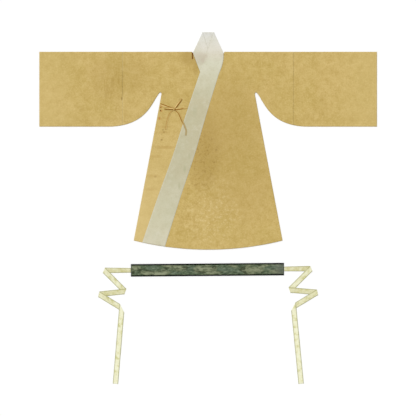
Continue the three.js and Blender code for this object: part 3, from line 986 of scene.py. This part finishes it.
class Finish:
    """One material: its nodes, and the Principled shader at their end."""

    def __init__(self, name, roughness, **constants):
        self.material = bpy.data.materials.new(name)
        self.material.use_nodes = True
        self.tree = self.material.node_tree
        self.shader = self.tree.nodes["Principled BSDF"]
        self.shader.inputs["Roughness"].default_value = roughness
        self.base = None
        for socket, value in constants.items():
            self.shader.inputs[socket.replace("_", " ")].default_value = value

    def node(self, kind, settings=None, inputs=None, output=0):
        """Adds a node: its settings first, then the values or links of its sockets."""
        made = self.tree.nodes.new(kind)
        for key, value in (settings or {}).items():
            if key == "stops":
                self._stops(made.color_ramp, value)
            else:
                setattr(made, key, value)
        for key, value in (inputs or {}).items():
            if isinstance(value, Value):
                self.tree.links.new(value.socket, made.inputs[key])
            else:
                made.inputs[key].default_value = value
        return Value(self, made.outputs[output])

    @staticmethod
    def _stops(ramp, stops):
        while len(ramp.elements) < len(stops):
            ramp.elements.new(0.5)
        for element, (position, colour) in zip(ramp.elements, stops):
            element.position = position
            element.color = (*colour, 1)

    def split(self, vector):
        made = self.tree.nodes.new("ShaderNodeSeparateXYZ")
        self.tree.links.new(vector.socket, made.inputs[0])
        return [Value(self, made.outputs[i]) for i in range(3)]

    def place(self):
        return self.node("ShaderNodeTexCoord", output="Object")

    def cut(self):
        """How far along and across a strip the point lies, and the strip's painted shade, from the mesh's
        own attribute.
        """
        return self.split(self.node("ShaderNodeAttribute", {"attribute_name": "cut"}, output="Vector"))

    def noise(self, vector, scale, detail=3.0, roughness=0.55, stretch=(1, 1, 1), turn=0.0):
        moving = {"Vector": vector, "Location": NOISE_SHIFT, "Rotation": (0, 0, turn), "Scale": stretch}
        moved = self.node("ShaderNodeMapping", None, moving)
        inputs = {"Vector": moved, "Scale": scale, "Detail": detail, "Roughness": roughness}
        return self.node("ShaderNodeTexNoise", None, inputs)

    def mix(self, factor, a, b):
        sockets = {0: factor, 6: colour(a), 7: colour(b)}
        return self.node("ShaderNodeMix", {"data_type": "RGBA"}, sockets, 2)

    def dye(self, share, red, green, blue):
        """Lays a tint over the colours so far."""
        self.base = self.mix(share, self.base, tint(red, green, blue))

    def finish(self, height, distance, strength):
        self.tree.links.new(self.base.socket, self.shader.inputs["Base Color"])
        inputs = {"Strength": strength, "Distance": distance, "Height": height}
        bump = self.node("ShaderNodeBump", None, inputs)
        self.tree.links.new(bump.socket, self.shader.inputs["Normal"])
        return self.material


def colour(value):
    return value if isinstance(value, Value) else (*value, 1)


# ---- Finishes ----

LIGHT = 1.13
SHINE = 0.012


def tint(red, green, blue):
    """The colour to dye a level cloth so that it looks like this, on a 0 to 255 scale, in the studio."""
    shares = [c / 255 for c in (red, green, blue)]
    seen = [c / 12.92 if c < 0.04045 else ((c + 0.055) / 1.055) ** 2.4 for c in shares]
    return tuple(max(c / LIGHT - SHINE, 0.001) for c in seen)


Blot = namedtuple("Blot", "x y wide high strength")

# Darker patches of wear; the one at (-80, 905), beside the inner collar's edge, is painted shade.
DARK_WEAR_AND_SHADE = table(
    Blot,
    (-10, 400, 130, 330, 0.85), (60, 440, 230, 330, 0.55), (130, 480, 260, 400, 0.5),
    (200, 200, 280, 320, 0.4), (-80, 905, 22, 60, 0.7), (-116, 965, 70, 60, 0.8),
    (130, 230, 200, 260, 0.3), (-560, 850, 210, 130, 0.35), (-630, 780, 120, 110, 0.3),
)
SPECKLED_DARK = table(
    Blot,
    (-25, 330, 120, 190, 1.0), (-60, 180, 90, 120, 0.8), (-130, -10, 100, 220, 0.5),
)
SPECKLED_PALE = table(
    Blot,
    (30, -60, 190, 190, 1.0), (60, 110, 120, 90, 0.5),
)
STAINS = table(
    Blot,
    (-298, 436, 7, 6.5, 0.5), (-289, 500, 5, 6, 0.5), (-283, 486, 6, 5, 0.45),
    (-300, 472, 5, 4, 0.3), (-338, 201, 10, 8, 0.22), (-553, 700, 5, 13, 0.5),
    (52, 372, 8, 7, 0.35),
)
PULLED_THREADS = table(
    Blot,
    (-610, 790, 90, 100, 1.0), (-560, 650, 60, 90, 0.3), (700, 640, 80, 110, 0.5),
)
SMEARS = table(
    Blot,
    (-280, 520, 60, 9, 0.5), (-290, 484, 45, 8, 0.5), (-275, 388, 70, 11, 0.7),
    (-330, 330, 50, 10, 0.4), (-355, 205, 50, 12, 0.4), (-370, 120, 55, 12, 0.3),
    (-300, 575, 60, 12, 0.35),
)
RUST_SPOTS = table(
    Blot,
    (-312, 573, 7, 11, 0.65), (-299, 621, 7, 8, 0.55), (-300, 648, 8, 12, 0.5),
)


def blotted(x, y, blots, ragged):
    """The strongest of some soft oval patches at each point, with uneven edges."""
    total = None
    for blot in blots:
        dx = (x - blot.x * MM) / (blot.wide * MM)
        dy = (y - blot.y * MM) / (blot.high * MM)
        mask = (dx * dx + dy * dy + ragged).fade(1.5, -0.1) * blot.strength
        total = mask if total is None else total.maths("MAXIMUM", mask)
    return total


def plain_weave(x, y, pitch):
    """Threads passing over and under each other."""
    turns = 2 * math.pi / pitch
    return (x * turns).sine() * (y * turns).sine()


ROBE_THREAD = 0.0013


def robe_cloth():
    """Straw-gold cloth, mottled from hand's breadth down to thread size, darker where it was rubbed, with
    painted shade along the sleeve seams and beside the inner collar's edge, and a painted highlight along
    the left seam.
    """
    f = Finish("robe_cloth", 0.85, Sheen_Weight=0.06, Sheen_Roughness=0.5, Specular_IOR_Level=0.25)
    place = f.place()
    x, y, _ = f.split(place)
    cloud = f.noise(place, 4.5, 2)
    mottle = f.noise(place, 20, 6, 0.72)
    grain = f.noise(place, 105, 4, 0.7)
    streaks = f.noise(place, 34, 3, 0.6, stretch=(2.4, 0.35, 1))
    f.base = f.mix(cloud.fade(0.3, 0.7), tint(207, 180, 113), tint(200, 174, 104))
    f.dye(mottle.fade(0.45, 0.78) * 0.55, 180, 150, 80)
    f.dye(mottle.fade(0.55, 0.25) * 0.5, 222, 197, 134)
    f.dye(grain.fade(0.5, 0.8) * 0.6, 172, 142, 76)
    f.dye(grain.fade(0.5, 0.25) * 0.5, 226, 202, 142)
    f.dye(streaks.fade(0.55, 0.8) * 0.25, 184, 156, 86)
    pulled = blotted(x, y, PULLED_THREADS, (mottle - 0.5) * 1.2)
    f.dye(streaks.fade(0.5, 0.62) * pulled * 0.5, 176, 146, 78)
    far = abs(x).fade(0.75, 1.06)
    f.dye(far * 0.35, 216, 192, 128)
    ragged = (mottle - 0.5) * 1.4
    # darker wear patches, and painted shade beside the inner collar's edge
    f.dye(blotted(x, y, DARK_WEAR_AND_SHADE, ragged) * 0.62, 172, 142, 76)
    specks = f.noise(place, 48, 5, 0.78)
    dark_specks = specks.fade(0.5, 0.66) * blotted(x, y, SPECKLED_DARK, ragged)
    f.dye(dark_specks * 0.6, 146, 112, 54)
    pale_specks = specks.fade(0.5, 0.36) * blotted(x, y, SPECKLED_PALE, ragged)
    f.dye(pale_specks * 0.65, 228, 206, 150)
    strip = inner_strip(x, y)
    f.dye(strip * y.fade(0.75, -0.2) * 0.55, 226, 202, 142)
    f.dye(blotted(x, y, SMEARS, ragged * 0.6) * 0.45 * strip, 172, 132, 62)
    # painted shade in the right sleeve seam's line, with some dirt
    seam = abs(x - SLEEVE_SEAM_X * MM).fade(0.012, 0.002)
    f.dye(seam * 0.04, 136, 106, 52)
    # painted shade in the left sleeve seam's line, only where that line shows
    hidden_seam = abs(x + SLEEVE_SEAM_X * MM).fade(0.012, 0.0)
    shown = abs(y - 0.8).fade(0.12, 0.05)
    f.dye(hidden_seam * shown * 0.05, 136, 112, 60)
    # painted highlight along the rest of the left sleeve seam, lightening the seam's shadow line
    seam_highlight = abs(x + SLEEVE_SEAM_X * MM).fade(0.006, 0.001) * (1 - shown)
    f.dye(seam_highlight * 0.24, 242, 218, 158)
    f.dye(blotted(x, y, STAINS, (grain - 0.5) * 0.8), 120, 84, 34)
    f.dye(blotted(x, y, RUST_SPOTS, (grain - 0.5) * 0.8), 190, 124, 60)
    weave = plain_weave(x, y, ROBE_THREAD)
    height = weave * 0.5 + grain * 0.8 + mottle * 0.8
    return f.finish(height, 0.00025, 0.35)


def inner_strip(x, y):
    """1 on the inner front, past the outer collar's free edge, and 0 elsewhere."""
    slope = (FREE_HEM[0] - FREE_TOP[0]) / (FREE_TOP[1] - FREE_HEM[1])
    past = x + FREE_TOP[0] * MM + (FREE_TOP[1] * MM - y) * slope
    return past.fade(0.01, 0.0) * y.fade(0.78, 0.7)


# Painted shadow on the collar beside the outer band's free edge, below where the bands cross at the neck.
NECK_SHADOWS = table(
    Blot,
    (-22, 970, 22, 20, 0.5), (-36, 946, 18, 24, 0.7), (-48, 925, 12, 16, 0.45),
    (-52, 958, 48, 40, 0.5),
)
BAND_MARKS = table(
    Blot,
    (-150, 250, 10, 26, 0.5), (-120, 330, 9, 20, 0.35), (-185, 140, 9, 26, 0.35),
    (-130, 700, 8, 16, 0.3), (-85, 620, 16, 40, 0.3),
)


def collar_cloth():
    """Off-white doubled cloth, palest at the neck, greyer down the front, with painted shadow beside the
    outer band's free edge at the neck.
    """
    f = Finish("collar_cloth", 0.82, Sheen_Weight=0.06, Sheen_Roughness=0.5, Specular_IOR_Level=0.25)
    place = f.place()
    x, y, _ = f.split(place)
    _, across, _ = f.cut()
    cloud = f.noise(place, 7, 2)
    mottle = f.noise(place, 24, 6, 0.68)
    grain = f.noise(place, 120, 3)
    ramp = {
        "stops": [
            (0.02, tint(216, 210, 184)),
            (0.12, tint(211, 206, 177)),
            (0.21, tint(207, 202, 173)),
            (0.35, tint(200, 193, 162)),
            (0.68, tint(200, 193, 161)),
            (0.78, tint(217, 213, 187)),
            (0.86, tint(219, 217, 194)),
            (0.895, tint(223, 217, 198)),
            (0.925, tint(232, 227, 215)),
            (0.97, tint(231, 229, 220)),
            (1.0, tint(224, 224, 220)),
        ]
    }
    height_share = (y + 0.25) / 1.375
    f.base = f.node("ShaderNodeValToRGB", ramp, {"Fac": height_share})
    f.dye(cloud.fade(0.35, 0.7) * 0.3, 192, 192, 160)
    f.dye(mottle.fade(0.46, 0.76) * 0.3, 180, 170, 134)
    f.dye(mottle.fade(0.5, 0.26) * 0.4, 222, 218, 198)
    f.dye(grain.fade(0.5, 0.8) * 0.25, 178, 168, 136)
    edge = abs(across).fade(0.84, 0.96)
    f.dye(edge * 0.3, 222, 218, 198)
    ragged = (mottle - 0.5) * 0.5
    # painted shadow beside the outer band's free edge at the neck
    f.dye(blotted(x, y, NECK_SHADOWS, ragged) * 0.55, 186, 162, 146)
    f.dye(blotted(x, y, BAND_MARKS, ragged), 176, 176, 140)
    weave = plain_weave(x, y, ROBE_THREAD)
    return f.finish(weave * 0.5 + grain * 0.7, 0.00022, 0.3)


def tie_cloth():
    """The robe's cloth folded narrow, with painted shade under one of its edges, a painted highlight along
    the other where the shade is strong, and a duller brown painted shade where a tie's shade is middling.
    """
    f = Finish("tie_cloth", 0.85, Specular_IOR_Level=0.05)
    place = f.place()
    along, across, shade = f.cut()
    threads = f.noise(place, 260, 3)
    f.base = f.mix(threads.fade(0.3, 0.75), tint(216, 188, 122), tint(198, 168, 100))
    # painted shade: a duller brown where a tie's shade value is middling
    dull = abs(shade).fade(0.8, 0.6) * abs(shade).fade(0.4, 0.6)
    f.dye(dull * 0.6, 174, 140, 76)
    greyed = dull * along.fade(75, 110)
    f.dye(greyed * 1.5, 178, 167, 130)
    # painted highlight along the lit edge of strongly shaded ties
    lit = (across * shade).fade(0.1, -0.9) * abs(shade).fade(0.75, 1.0)
    f.dye(lit * 0.9, 250, 220, 156)
    # painted shade under the other edge
    dark = (across * shade).fade(-0.3, 0.35) * abs(shade).fade(0.0, 0.9)
    f.dye(dark * (0.97 - greyed * 1.5), 150, 98, 20)
    weave = ((along * 4.2).sine() + (across * 26).sine()) * 0.3
    return f.finish(weave + threads * 0.5, 0.0002, 0.4)


Leaf = namedtuple("Leaf", "x y long high turn")

PALE_LEAVES = table(
    Leaf,
    (-470, 14, 90, 22, 4), (-400, -18, 70, 20, -8), (-310, -20, 110, 26, 3),
    (-195, 14, 100, 26, -4), (-52, 6, 60, 34, 2), (5, 10, 90, 30, 0), (30, -20, 110, 18, 4),
    (165, 22, 60, 12, -10), (292, -2, 130, 60, -3), (360, 20, 70, 16, 8), (430, -18, 90, 18, -5),
    (-250, 24, 60, 12, -6),
)
BLUE_LEAVES = table(
    Leaf,
    (-350, 14, 90, 26, -3), (-110, 6, 110, 42, 6), (120, -2, 120, 40, -4), (205, -14, 70, 26, 10),
    (400, 8, 110, 34, 4), (460, 14, 60, 30, 0), (-210, -22, 80, 18, 4),
)
DARK_LEAVES = table(
    Leaf,
    (-425, 2, 60, 14, 12), (-365, -6, 80, 8, -6), (-270, 6, 70, 16, 20), (-140, 10, 34, 26, 50),
    (-35, -16, 60, 12, -8), (44, 18, 34, 20, 30), (225, 4, 50, 26, 40), (330, 26, 44, 14, -20),
    (345, -22, 50, 12, 8), (240, -18, 40, 14, -30), (-480, -14, 50, 16, 10),
)


LEAF_REACH = 0.6


def leaves(x, y, shapes, ragged):
    """Almond shapes on the belt: 1 in their middles, 0 outside, with wavering edges."""
    total = None
    for leaf in shapes:
        turn = math.radians(leaf.turn)
        dx, dy = x - leaf.x * MM, y - leaf.y * MM
        u = (dx * math.cos(turn) + dy * math.sin(turn)) / (leaf.long * LEAF_REACH * MM)
        v = (dy * math.cos(turn) - dx * math.sin(turn)) / (leaf.high * LEAF_REACH * MM)
        inside_leaf = 1 - u * u - abs(v) + ragged
        total = inside_leaf if total is None else total.maths("MAXIMUM", inside_leaf)
    return total


def brocade():
    """Leafy forms woven in grey-olive and blue-green on a dark green ground, over a fine twill."""
    f = Finish("belt_brocade", 0.6, Sheen_Weight=0.1, Specular_IOR_Level=0.3)
    place = f.place()
    x, y, _ = f.split(place)
    c, s = math.cos(BELT_TILT), math.sin(BELT_TILT)
    dx, dy = x - BELT_CENTRE[0] * MM, y - BELT_CENTRE[1] * MM
    run, rise = dx * c + dy * s, dy * c - dx * s
    drift = f.noise(place, 17, 4, 0.65, stretch=(0.7, 1.5, 1))
    streak = f.noise(place, 52, 4, 0.68, stretch=(0.5, 2.2, 1), turn=0.12)
    shred = f.noise(place, 66, 2, 0.6, stretch=(0.6, 1.3, 1), turn=0.3)
    fleck = f.noise(place, 150, 3)
    ragged = (drift - 0.5) * 4 + (streak - 0.5) * 3
    f.base = f.mix(streak.fade(0.35, 0.65), tint(62, 82, 56), tint(98, 112, 86))
    blue = leaves(run, rise, BLUE_LEAVES, ragged)
    f.dye(blue.fade(-0.2, 0.6) * 0.7, 98, 115, 96)
    pale = leaves(run, rise, PALE_LEAVES, ragged)
    f.dye(pale.fade(-0.6, -0.1) * 0.35, 58, 70, 44)
    f.dye(pale.fade(-0.4, 0.25) * 0.9, 124, 131, 99)
    f.dye(pale.fade(0.2, 1.1) * 0.65, 158, 164, 134)
    dark = leaves(run, rise, DARK_LEAVES, ragged * 0.7)
    f.dye(dark.fade(-0.1, 0.5) * 0.8, 50, 56, 30)
    f.dye(streak.fade(0.52, 0.66) * 0.6, 58, 70, 44)
    f.dye(streak.fade(0.45, 0.34) * 0.35, 146, 154, 126)
    f.dye(shred.fade(0.52, 0.64) * 0.65, 44, 58, 36)
    f.dye(shred.fade(0.46, 0.34) * 0.45, 150, 158, 130)
    f.dye(fleck.fade(0.5, 0.8) * 0.35, 140, 146, 118)
    f.dye(fleck.fade(0.46, 0.28) * 0.4, 52, 64, 40)
    worn_end = run.fade(0.38, 0.49)
    f.dye(worn_end * 0.5, 112, 114, 104)
    f.dye(abs(run).fade(0.4825, 0.4885) * 0.8, 34, 46, 30)
    twill = ((x + y) * (2 * math.pi / 0.0018)).sine()
    relief = pale.fade(-0.1, 0.3) * 0.8 + twill * 0.35 + fleck * 0.3
    return f.finish(relief, 0.0003, 0.5)


def binding():
    """Near-black green tape, a little worn."""
    f = Finish("belt_binding", 0.8, Specular_IOR_Level=0.08)
    place = f.place()
    x, _, _ = f.split(place)
    worn = f.noise(place, 60, 4)
    f.base = f.mix(worn.fade(0.42, 0.75), tint(6, 14, 2), tint(30, 38, 16))
    ribs = (x * (2 * math.pi / 0.0016)).sine()
    return f.finish(ribs * 0.5 + worn, 0.0002, 0.4)


def ribbon_silk():
    """Pale yellow silk in olive and tan blotches, with painted shade on some stretches of the folded ribbon,
    and darker along its edges.
    """
    f = Finish("belt_ribbon", 0.6, Sheen_Weight=0.1, Specular_IOR_Level=0.3)
    place = f.place()
    along, across, stretch_shade = f.cut()
    blotch = f.noise(place, 30, 4, 0.65)
    fine = f.noise(place, 140, 3)
    f.base = f.mix(blotch.fade(0.35, 0.65), tint(246, 246, 216), tint(235, 232, 190))
    f.dye(blotch.fade(0.52, 0.66) * 0.8, 206, 206, 142)
    f.dye(fine.fade(0.5, 0.8) * 0.35, 210, 204, 156)
    # painted shade on the darker stretches
    f.dye(stretch_shade * (blotch.fade(0.3, 0.55) * 0.5 + 0.5), 200, 193, 136)
    f.dye(abs(across).fade(0.6, 0.95) * 0.8, 158, 156, 98)
    ribs = (along * (2 * math.pi / 1.1)).sine()
    return f.finish(ribs * 0.4 + fine * 0.6, 0.0002, 0.35)


def thread(name, red, green, blue):
    """Twisted sewing thread."""
    f = Finish(name, 0.7, Specular_IOR_Level=0.2)
    place = f.place()
    twist = f.noise(place, 900, 2)
    f.base = f.mix(twist.fade(0.35, 0.7), tint(red, green, blue), tint(red * 0.8, green * 0.78, blue * 0.74))
    return f.finish(twist, 0.0001, 0.3)


# ---- Stitches ----


STITCH_SIZES = (0.8, 1.12)
STITCH_RISES = (19, 38)
JUST_ABOVE = 0.1


def stitch_tree():
    """Lays a small thread along each path once for each pitch; ends realized, with its material."""
    tree = bpy.data.node_groups.new("stitches", "GeometryNodeTree")
    face = tree.interface
    face.new_socket("Geometry", in_out="OUTPUT", socket_type="NodeSocketGeometry")
    face.new_socket("Geometry", in_out="INPUT", socket_type="NodeSocketGeometry")
    for name in ("Pitch", "Length", "Thickness"):
        face.new_socket(name, in_out="INPUT", socket_type="NodeSocketFloat")
    face.new_socket("Seed", in_out="INPUT", socket_type="NodeSocketInt")
    face.new_socket("Thread", in_out="INPUT", socket_type="NodeSocketMaterial")
    new = tree.nodes.new
    given, out = new("NodeGroupInput"), new("NodeGroupOutput")
    curve, spots = new("GeometryNodeMeshToCurve"), new("GeometryNodeCurveToPoints")
    spots.mode = "LENGTH"
    stitch, shape = new("GeometryNodeMeshIcoSphere"), new("GeometryNodeTransform")
    stitch.inputs["Subdivisions"].default_value = 1
    stitch.inputs["Radius"].default_value = 0.5
    size, vary = new("ShaderNodeCombineXYZ"), new("FunctionNodeRandomValue")
    vary.data_type = "FLOAT"
    vary.inputs[2].default_value, vary.inputs[3].default_value = STITCH_SIZES
    place, real = new("GeometryNodeInstanceOnPoints"), new("GeometryNodeRealizeInstances")
    dress = new("GeometryNodeSetMaterial")
    for start, output, end, socket in (
        (given, "Geometry", curve, "Mesh"),
        (curve, "Curve", spots, "Curve"),
        (given, "Pitch", spots, "Length"),
        (given, "Thickness", size, "X"),
        (given, "Thickness", size, "Y"),
        (given, "Length", size, "Z"),
        (stitch, "Mesh", shape, "Geometry"),
        (size, "Vector", shape, "Scale"),
        (spots, "Points", place, "Points"),
        (spots, "Rotation", place, "Rotation"),
        (shape, "Geometry", place, "Instance"),
        (given, "Seed", vary, "Seed"),
        (vary, 1, place, "Scale"),
        (place, "Instances", real, "Geometry"),
        (real, "Geometry", dress, "Geometry"),
        (given, "Thread", dress, "Material"),
        (dress, "Geometry", out, "Geometry"),
    ):
        tree.links.new(start.outputs[output], end.inputs[socket])
    return tree


def sew(name, paths, material, pitch=6.0, length=3.6, thickness=0.9, seed=1):
    """Running stitches along some paths of points, as one plain mesh."""
    points, edges = [], []
    for path in paths:
        start = len(points)
        points += [tuple(np.array(p) * MM) for p in path]
        edges += [(i, i + 1) for i in range(start, len(points) - 1)]
    mesh = bpy.data.meshes.new(name + "_path")
    mesh.from_pydata(points, edges, [])
    guide = add_object(name + "_path", mesh)
    modifier = guide.modifiers.new("stitches", "NODES")
    modifier.node_group = STITCHES
    values = {
        "Pitch": pitch * MM,
        "Length": length * MM,
        "Thickness": thickness * MM,
        "Seed": seed,
        "Thread": material,
    }
    for item in STITCHES.interface.items_tree:
        if item.in_out == "INPUT" and item.name in values:
            modifier[item.identifier] = values[item.name]
    evaluated = guide.evaluated_get(bpy.context.evaluated_depsgraph_get())
    made = bpy.data.meshes.new_from_object(evaluated)
    made.name = name
    bpy.data.objects.remove(guide)
    return add_object(name, made)


def on_cloth(flat, height):
    """Puts a flat path just above the top of a cloth."""
    flat = np.array(flat, float)
    z = height(flat[:, 0], flat[:, 1]) + CLOTH / 2 + JUST_ABOVE
    return np.column_stack([flat, z])


def hem_paths(side, front_z, inner_x):
    """A line of stitches above the hem, up to the collar."""
    edge = hem_between(inner_x + 6, HEM_CORNER[0] - 5)
    return on_cloth(mirror(edge + np.array([0, 16]), side), front_z)


def sleeve_paths(side):
    """Two lines along the sleeve's lower edge and one inside the cuff."""
    paths = []
    for rise in STITCH_RISES:
        y = SLEEVE_BOTTOM_Y + rise
        line = walk([(SLEEVE_SEAM_X + 12, y + 3), (620, y), (HALF_SPAN - 6, y)], FINE)
        paths.append(on_cloth(mirror(line, side), sleeve_front_z))
    cuff = walk([(HALF_SPAN - 16, SLEEVE_BOTTOM_Y + 6), (HALF_SPAN - 16, SHOULDER_Y - 6)], FINE)
    paths.append(on_cloth(mirror(cuff, side), sleeve_front_z))
    return paths


def body_sleeve_path(side, front_z):
    """The same lower line on the body's part of the sleeve."""
    curve = sleeve_bottom(345, SLEEVE_SEAM_X - 8)
    way = np.gradient(curve, axis=0)
    way /= np.linalg.norm(way, axis=1)[:, None]
    inward = np.column_stack([-way[:, 1], way[:, 0]])
    return [on_cloth(mirror(curve + inward * rise, side), front_z) for rise in STITCH_RISES]


def collar_paths():
    """Along the collar's seam and its free edge."""
    paths = []
    for share in (0.035, 0.965):
        path = [free + (seam - free) * share for free, seam in band_ends("outer")[3:]]
        paths.append(np.array(path) + np.array([0, 0, BAND / 2 + JUST_ABOVE]))
    return paths


BELT_STITCH_Z = 4.55
BELT_STITCH_IN = 1.6


def belt_paths():
    length, height = BELT_SIZE
    x = np.linspace(-length / 2 + 3, length / 2 - 3, 160)
    paths = []
    for side in (1, -1):
        y = np.full(len(x), side * (height / 2 - BINDING_FACE + BELT_STITCH_IN))
        paths.append(belt_place(np.column_stack([x, y, np.full(len(x), BELT_STITCH_Z)])))
    return paths


def neck_tack():
    """A short bar of close dark russet threads where the collar meets the shoulder."""
    lines = []
    for k in range(4):
        line = walk([(-103.5 + 2 * k, 952 + k), (-103.5 + 2 * k, 994)], 4)
        lines.append(on_cloth(line, right_front_z) + np.array([0, 0, 0.3]))
    return lines


ROOT_TACKS = ((-303, 660, 4), (-304, 644, 4), (-305, 624, 8))


def root_tacks():
    """Three small tacks where the tie is sewn to the side seam."""
    lines = []
    for x, y, reach in ROOT_TACKS:
        for k in range(3):
            line = walk([(x - 2 + 2 * k, y - reach / 2), (x - 2 + 2 * k, y + reach / 2)], 3)
            lines.append(on_cloth(line, right_front_z) + np.array([0, 0, 0.6]))
    return lines


# ---- Stage ----


FLOOR_HALF = 9
FLOOR_Z = -0.0001
SQUARE = ((-1, -1), (1, -1), (1, 1), (-1, 1))


def floor():
    mesh = bpy.data.meshes.new("floor")
    corners = [(x * FLOOR_HALF, y * FLOOR_HALF, 0) for x, y in SQUARE]
    mesh.from_pydata(corners, [], [(0, 1, 2, 3)])
    piece = add_object("floor", mesh)
    piece.location.z = FLOOR_Z
    material = bpy.data.materials.new("floor")
    material.use_nodes = True
    shader = material.node_tree.nodes["Principled BSDF"]
    shader.inputs["Base Color"].default_value = (0.9, 0.9, 0.9, 1)
    shader.inputs["Roughness"].default_value = 0.9
    mesh.materials.append(material)


def sun(place, angle, strength):
    """A soft distant light, shining from a place towards the robe."""
    data = bpy.data.lights.new("key", "SUN")
    data.energy, data.angle = strength, math.radians(angle)
    made = add_object("key", data)
    made.location = place
    made.rotation_euler = (-Vector(place)).to_track_quat("-Z", "Y").to_euler()


VIEW_WIDTH = 2.6624
LENS = 120
SENSOR = 36
VIEW_CENTRE = (-0.001, 0.0)


def camera():
    data = bpy.data.cameras.new("camera")
    data.lens, data.sensor_width = LENS, SENSOR
    made = add_object("camera", data)
    made.location = (*VIEW_CENTRE, VIEW_WIDTH * LENS / SENSOR)
    data.clip_end = 100
    bpy.context.scene.camera = made


def studio():
    world = bpy.data.worlds.new("studio")
    world.use_nodes = True
    back = world.node_tree.nodes["Background"]
    back.inputs["Color"].default_value = (1, 1, 1, 1)
    back.inputs["Strength"].default_value = 0.68
    bpy.context.scene.world = world
    bpy.context.scene.view_settings.view_transform = "Standard"
    sun((-1.2, 1.45, 3.0), 14, 1.67)


# ---- Assembly ----

camera()
studio()
floor()

robe, pale, tied = robe_cloth(), collar_cloth(), tie_cloth()
STITCHES = stitch_tree()

left_body = half_body("left_half", 1, front_edge(1, "outer"), left_front_z, robe)
right_body = half_body("right_half", -1, front_edge(-1, "inner"), right_front_z, robe)
left_sleeve = sleeve("left_sleeve", 1, robe)
right_sleeve = sleeve("right_sleeve", -1, robe)
band = collar(pale)
settle(left_body, "robe_cloth", "body_left")
settle(right_body, "robe_cloth", "body_right")
settle(left_sleeve, "robe_cloth", "sleeve_left")
settle(right_sleeve, "robe_cloth", "sleeve_right")
settle(band, "collar_cloth", "collar")
for piece, node in bow(tied):
    settle(piece, "tie_cloth", node)

field = settle(belt_field(brocade()), "belt_brocade", "belt_field")
dark = binding()
top_edge = settle(belt_edge("binding_top", 1, dark), "belt_binding", "belt_edge_top")
bottom_edge = settle(belt_edge("binding_bottom", -1, dark), "belt_binding", "belt_edge_bottom")
silk = ribbon_silk()
left_ribbon = settle(ribbon("ribbon_left", LEFT_RIBBON, silk), "belt_ribbon", "belt_ribbon_left")
right_ribbon = settle(ribbon("ribbon_right", RIGHT_RIBBON, silk), "belt_ribbon", "belt_ribbon_right")

straw = thread("straw_thread", 196, 166, 98)
outer_foot = on_hem(lambda y: seam_x("outer", y))[0]
robe_lines = [
    hem_paths(1, left_front_z, outer_foot),
    hem_paths(-1, right_front_z, FREE_HEM[0]),
    *body_sleeve_path(1, left_front_z),
    *body_sleeve_path(-1, right_front_z),
]
robe_stitches = settle(sew("robe_stitches", robe_lines, straw), "robe_cloth")
left_lines = settle(sew("left_sleeve_stitches", sleeve_paths(1), straw, seed=2), "robe_cloth")
right_lines = settle(sew("right_sleeve_stitches", sleeve_paths(-1), straw, seed=7), "robe_cloth")
cream = thread("cream_thread", 214, 208, 184)
band_lines = settle(sew("collar_stitches", collar_paths(), cream, seed=3), "collar_cloth")
black = thread("dark_thread", 26, 36, 22)
belt_sewing = sew("belt_stitches", belt_paths(), black, pitch=4.5, length=2.8, thickness=0.7, seed=4)
belt_lines = settle(belt_sewing, "belt_binding")
russet = thread("russet_thread", 146, 88, 34)
neck_sewing = sew("neck_tack", neck_tack(), russet, pitch=2.6, length=3.4, thickness=2.2, seed=5)
neck_bar = settle(neck_sewing, "tie_cloth")
root_sewing = sew("root_tacks", root_tacks(), russet, pitch=2.6, length=3, thickness=2.2, seed=6)
root_bars = settle(root_sewing, "tie_cloth")
